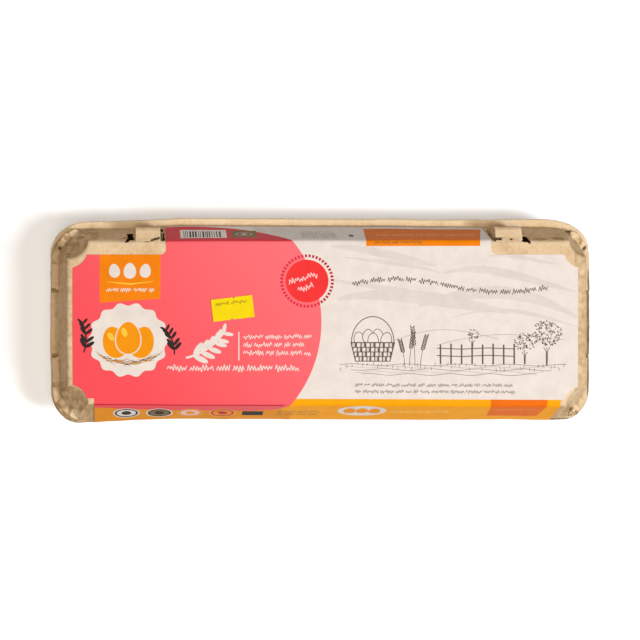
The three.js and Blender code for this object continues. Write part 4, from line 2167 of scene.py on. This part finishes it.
    def lock_wall(self) -> None:
        """Prints the lock-side wall: upright bars, a dark panel with a ring, and small print."""
        art = self.art
        low, high = self.section.down_to(52.0), self.section.down_to(66.5)
        art.bar(Ink.PAPER, (-80.2, high), (-55.3, low))
        u = -78.4
        while u < -57.6:
            width = self.draw.choice((0.35, 0.35, 0.6, 0.9))
            art.bar(Ink.BLACK, (u, high + 1.2), (u + width, low - 2.6))
            u += width + self.draw.choice((0.4, 0.6, 0.9))
        dark_low, dark_high = self.section.down_to(53.6), self.section.down_to(65.8)
        art.bar(Ink.OLIVE, (-52.6, dark_high), (-39.0, dark_low))
        for ink, radii in ((Ink.FAINT, (4.6, 3.4)), (Ink.OLIVE, (3.9, 2.7)), (Ink.ROSE, (1.6, 1.1))):
            art.disc(ink, (-45.8, (dark_low + dark_high) / 2), radii)
        for row in range(5):
            v = high + 1.6 + row * 2.7
            art.words(Ink.FAINT_TYPE, (-14.5, v), (4.2, v), 1.4, 4.6, 100 + row)
        art.disc(Ink.SKETCH, (12.4, high + 5), (1.5, 2.2), steps=16)
        line = self.section.down_to(60.5)
        art.words(Ink.FAINT_WARM, (26.0, line), (80.0, line), 2.2, 9.0, 120)
        art.words(Ink.OLIVE, (24.0, 43.6), (50.0, 43.6), 1.3, 6.0, 121)

    def hinge_wall(self) -> None:
        """Prints the hinge-side wall: round marks with an egg, two panels and small print."""
        art = self.art
        middle = -self.section.down_to(56.8)
        marks = (
            (-108.9, Ink.PAPER, Ink.BLACK, Ink.PAPER),
            (-91.2, Ink.PAPER, Ink.BLACK, Ink.OLIVE),
            (-74.7, Ink.FAINT_WARM, Ink.GOLD, Ink.ROSE),
            (-57.3, Ink.FAINT_WARM, Ink.CREASE, Ink.GOLD),
        )
        for i, (u, outer, ring, inner) in enumerate(marks):
            art.disc(outer, (u, middle), (7.2, 7.6), steps=40)
            art.disc(ring, (u, middle), (6.3, 6.7), steps=40)
            art.disc(inner, (u, middle), (5.2, 5.2), steps=40)
            art.disc(ring, (u, middle + 0.2), (2.6, 3.2), turn=12 * i, egg=0.15, steps=24)
        art.bar(Ink.BLACK, (-46.6, middle - 4.4), (-35.2, middle + 3.4))
        for row in range(3):
            v = middle + 3.4 - 3.2 * row
            art.words(Ink.OLIVE, (-28.0, v), (-4.6, v), 1.6, 4.4, 130 + row)
        top = -self.section.down_to(61.0)
        art.disc(Ink.PAPER, (18.4, top), (13.4, 9.0), steps=48)
        for u, rise in ((11.6, 0.0), (18.4, 0.4), (25.2, 0.0)):
            art.disc(Ink.GOLD, (u, top + rise), (3.4, 4.6), egg=0.14, steps=28)
        art.words(Ink.GOLD_PALE, (34.5, top - 1.6), (66.0, top - 1.6), 2.0, 10.0, 140)
        art.words(Ink.FAINT_WARM, (92.0, top + 3.0), (114.0, top + 3.0), 1.6, 7.0, 141)

    def compose(self) -> Artwork:
        """Prints everything, in order.

        Returns:
            The whole artwork.
        """
        self.grounds()
        self.sky()
        self.small_print()
        self.egg_panel()
        self.medallion()
        self.sprigs()
        self.badge()
        self.landscape()
        self.lock_wall()
        self.hinge_wall()
        return self.art


@dataclass
class Label:
    """The printed wrap over the lid's top and both long walls."""

    section: WrapSection
    half_length: float = 136.5
    slip: float = 1.0
    lock_edge: float = 37.0
    hinge_edge: float = 41.5
    lock_flap: float = 88.0
    hinge_flap: float = 126.0
    fillet: float = 2.7
    bite_x: float = 139.0
    bite_lock: float = 40.0
    bite_hinge: float = 44.3
    bite_radius: float = 10.4

    def outline(self) -> list[Point]:
        """The flat label's outline, with its two ends alike.

        Returns:
            The points, anticlockwise from the hinge flap's right end.
        """
        foot = self.section.down_to(SIZES.label_foot)
        steep = math.degrees(math.acos((self.bite_x - self.half_length) / self.bite_radius))
        lock = math.degrees(math.asin((self.bite_lock - self.lock_edge) / self.bite_radius))
        hinge = math.degrees(math.asin((self.bite_hinge - self.hinge_edge) / self.bite_radius))
        bite = (self.bite_radius, self.bite_radius)
        nook = (self.lock_flap + self.fillet, self.lock_edge + self.fillet)
        right = [
            (self.hinge_flap, -foot),
            (self.hinge_flap, -self.hinge_edge),
            *arc((self.bite_x, -self.bite_hinge), bite, 180 - hinge, 180 - steep, 12),
            *arc((self.bite_x, self.bite_lock), bite, 180 + steep, 180 + lock, 12),
            *arc(nook, (self.fillet, self.fillet), 270, 180, 8),
            (self.lock_flap, foot),
        ]
        whole = right + [(-u, v) for u, v in reversed(right)]
        return [(u - (self.slip if abs(u) > 127.0 else 0.0), v) for u, v in whole]

    def build(self, inks: InkShelf) -> Object:
        """Makes the label.

        Args:
            inks: Where the inks' materials are.

        Returns:
            The label's object.
        """
        walls = [side * row for side in (-1, 1) for row in (54.0, 61.0, 68.0)]
        folds = [side * reach for side in (-1, 1) for reach in self.section.reach[1:-1]]
        sheet = PrintedSheet(
            name="label_sheet",
            slot="label_paper",
            node="label",
            outline=self.outline(),
            artwork=LabelPrint(self.section).compose(),
            ground=Ink.PAPER,
            thickness=SIZES.label_thickness,
            columns=[u * 7.0 for u in range(-19, 20)],
            rows=[*(v * 6.0 for v in range(-7, 8)), *walls, *folds],
        )
        return sheet.build(self.section.wrap, inks)


@dataclass
class PriceSticker:
    """The small yellow sticker, a little turned, with its tear notches."""

    centre: Point = (-52.5, 7.6)
    length: float = 22.2
    width: float = 11.8
    turn: float = 7.0
    notch: float = 0.8
    thickness: float = 0.22

    def _outline(self) -> list[Point]:
        """The sticker's outline about its own middle, with a notch in each long edge.

        Returns:
            The points, anticlockwise.
        """
        x, y, n = self.length / 2, self.width / 2, self.notch
        half = [(-x, -y), (-x * 0.1 - n, -y), (-x * 0.1, -y + n), (-x * 0.1 + n, -y), (x, -y)]
        return half + [(-px, -py) for px, py in half]

    def _wrap(self, u: float, v: float) -> Laid:
        """Lays a point of the sticker on the label, with its corners lifted a little.

        Args:
            u: Its place along the sticker, from the middle.
            v: Its place across it.

        Returns:
            Its place on the label and the upward direction.
        """
        turn = Matrix.Rotation(math.radians(self.turn), 2)
        flat = turn @ Vector((u, v))
        lift = 0.35 * (abs(u) / (self.length / 2)) ** 6 * (abs(v) / (self.width / 2)) ** 2
        height = SIZES.height + 2 * SIZES.gap + SIZES.label_thickness + self.thickness + lift
        return Vector((flat.x + self.centre[0], flat.y + self.centre[1], height)), Vector((0.0, 0.0, 1.0))

    def build(self, inks: InkShelf) -> Object:
        """Makes the sticker.

        Args:
            inks: Where the inks' materials are.

        Returns:
            The sticker's object.
        """
        art = Artwork()
        art.words(Ink.STICKER_INK, (-9.0, 3.0), (8.4, 3.0), 1.7, 6.0, 150)
        sheet = PrintedSheet(
            name="price_tag",
            slot="sticker_paper",
            node="price_sticker",
            outline=self._outline(),
            artwork=art,
            ground=Ink.STICKER,
            thickness=self.thickness,
            columns=[u * 2.2 for u in range(-5, 6)],
            rows=[v * 2.0 for v in range(-3, 4)],
        )
        return sheet.build(self._wrap, inks)


# --- Floor, light and camera ---


@dataclass(frozen=True)
class Lamp:
    """An oblong soft light that faces the carton, in metres and watts."""

    name: str
    place: Triple
    size: Point
    power: float
    tint: Triple

    def hang(self) -> None:
        """Puts the light in the scene."""
        data = bpy.data.lights.new(self.name, "AREA")
        data.color = self.tint
        data.shape = "RECTANGLE"
        data.size, data.size_y = self.size
        data.energy = self.power
        lamp = bpy.data.objects.new(self.name, data)
        lamp.location = self.place
        direction = Vector((0.0, 0.0, 0.03)) - Vector(self.place)
        lamp.rotation_euler = direction.to_track_quat("-Z", "Y").to_euler()
        bpy.context.scene.collection.objects.link(lamp)


@dataclass
class Studio:
    """A pale floor, soft light from the right and a camera above, a little to the left."""

    distance: float = 0.9858
    lean_x: float = math.radians(6.18)
    lean_y: float = math.radians(0.98)
    target: Triple = (-0.00228, -0.00034, 0.040)
    lens: float = 100.0
    sensor: float = 36.0
    floor_half: float = 3.0
    floor_colour: Triple = (0.85, 0.86, 0.87)
    floor_glow: Triple = (0.9, 0.95, 1.0)
    floor_glow_strength: float = 0.25
    air: Triple = (1.0, 0.85, 0.66)
    air_strength: float = 0.09
    lamps: tuple[Lamp, ...] = (
        Lamp("key_light", (0.76, -0.33, 1.70), (0.30, 0.5), 26.0, (0.87, 0.93, 1.0)),
        Lamp("fill_light", (-0.2, -0.1, 1.6), (0.8, 0.5), 15.0, (1.0, 0.9, 0.78)),
    )

    def floor(self) -> None:
        """Lays the floor under the carton's feet."""
        bm = bmesh.new()
        bmesh.ops.create_grid(bm, x_segments=2, y_segments=2, size=self.floor_half)
        bmesh.ops.translate(bm, vec=(0.0, 0.0, -0.0002), verts=bm.verts)
        plane = linked("floor", as_mesh(bm, "floor"))
        desk = NodeDesk("floor_paper")
        settings = {
            "Base Color": (*self.floor_colour, 1.0),
            "Roughness": 0.9,
            "Specular IOR Level": 0.0,
            "Emission Color": (*self.floor_glow, 1.0),
            "Emission Strength": self.floor_glow_strength,
        }
        for socket, value in settings.items():
            desk.shader.inputs[socket].default_value = value
        plane.data.materials.append(desk.material)

    def light(self) -> None:
        """Hangs the lights and tints the air."""
        for lamp in self.lamps:
            lamp.hang()
        world = bpy.data.worlds.new("studio_air")
        world.use_nodes = True
        air = world.node_tree.nodes["Background"]
        air.inputs["Color"].default_value = (*self.air, 1.0)
        air.inputs["Strength"].default_value = self.air_strength
        bpy.context.scene.world = world
        bpy.context.scene.view_settings.view_transform = "Standard"

    def camera(self) -> None:
        """Sets the camera above the lid, leaning to the left, with the lock side up in the frame."""
        away = Vector((-math.sin(self.lean_x), -math.sin(self.lean_y), 0.0))
        away.z = math.sqrt(1 - away.length_squared)
        right = Vector((0.0, 1.0, 0.0)).cross(away).normalized()
        up = away.cross(right)
        data = bpy.data.cameras.new("camera")
        data.lens = self.lens
        data.sensor_width = self.sensor
        data.clip_end = 20.0
        camera = bpy.data.objects.new("camera", data)
        rotation = Matrix((right, up, away)).transposed().to_4x4()
        camera.matrix_world = Matrix.Translation(Vector(self.target) + away * self.distance) @ rotation
        bpy.context.scene.collection.objects.link(camera)
        bpy.context.scene.camera = camera

    def build(self) -> None:
        """Sets up the floor, the lights and the camera."""
        self.floor()
        self.light()
        self.camera()


def main() -> None:
    """Builds the carton and its surroundings, and reports each piece."""
    logging.basicConfig(level=logging.INFO, format="%(name)s: %(message)s")
    inks = InkShelf()
    pulp = PulpFinish("moulded_pulp").build()
    Studio().build()
    lid = Lid(pulp)
    section = WrapSection(lid.side_profile(), SIZES.gap + SIZES.label_thickness)
    pieces = [
        *lid.build(),
        TrayRim(pulp).build(),
        LockTabs(pulp).build(),
        TrayCups(pulp).build(),
        Label(section).build(inks),
        PriceSticker().build(inks),
    ]
    for piece in pieces:
        LOG.info("%s: %d faces", piece.name, len(piece.data.polygons))


if __name__ == "__main__":
    main()
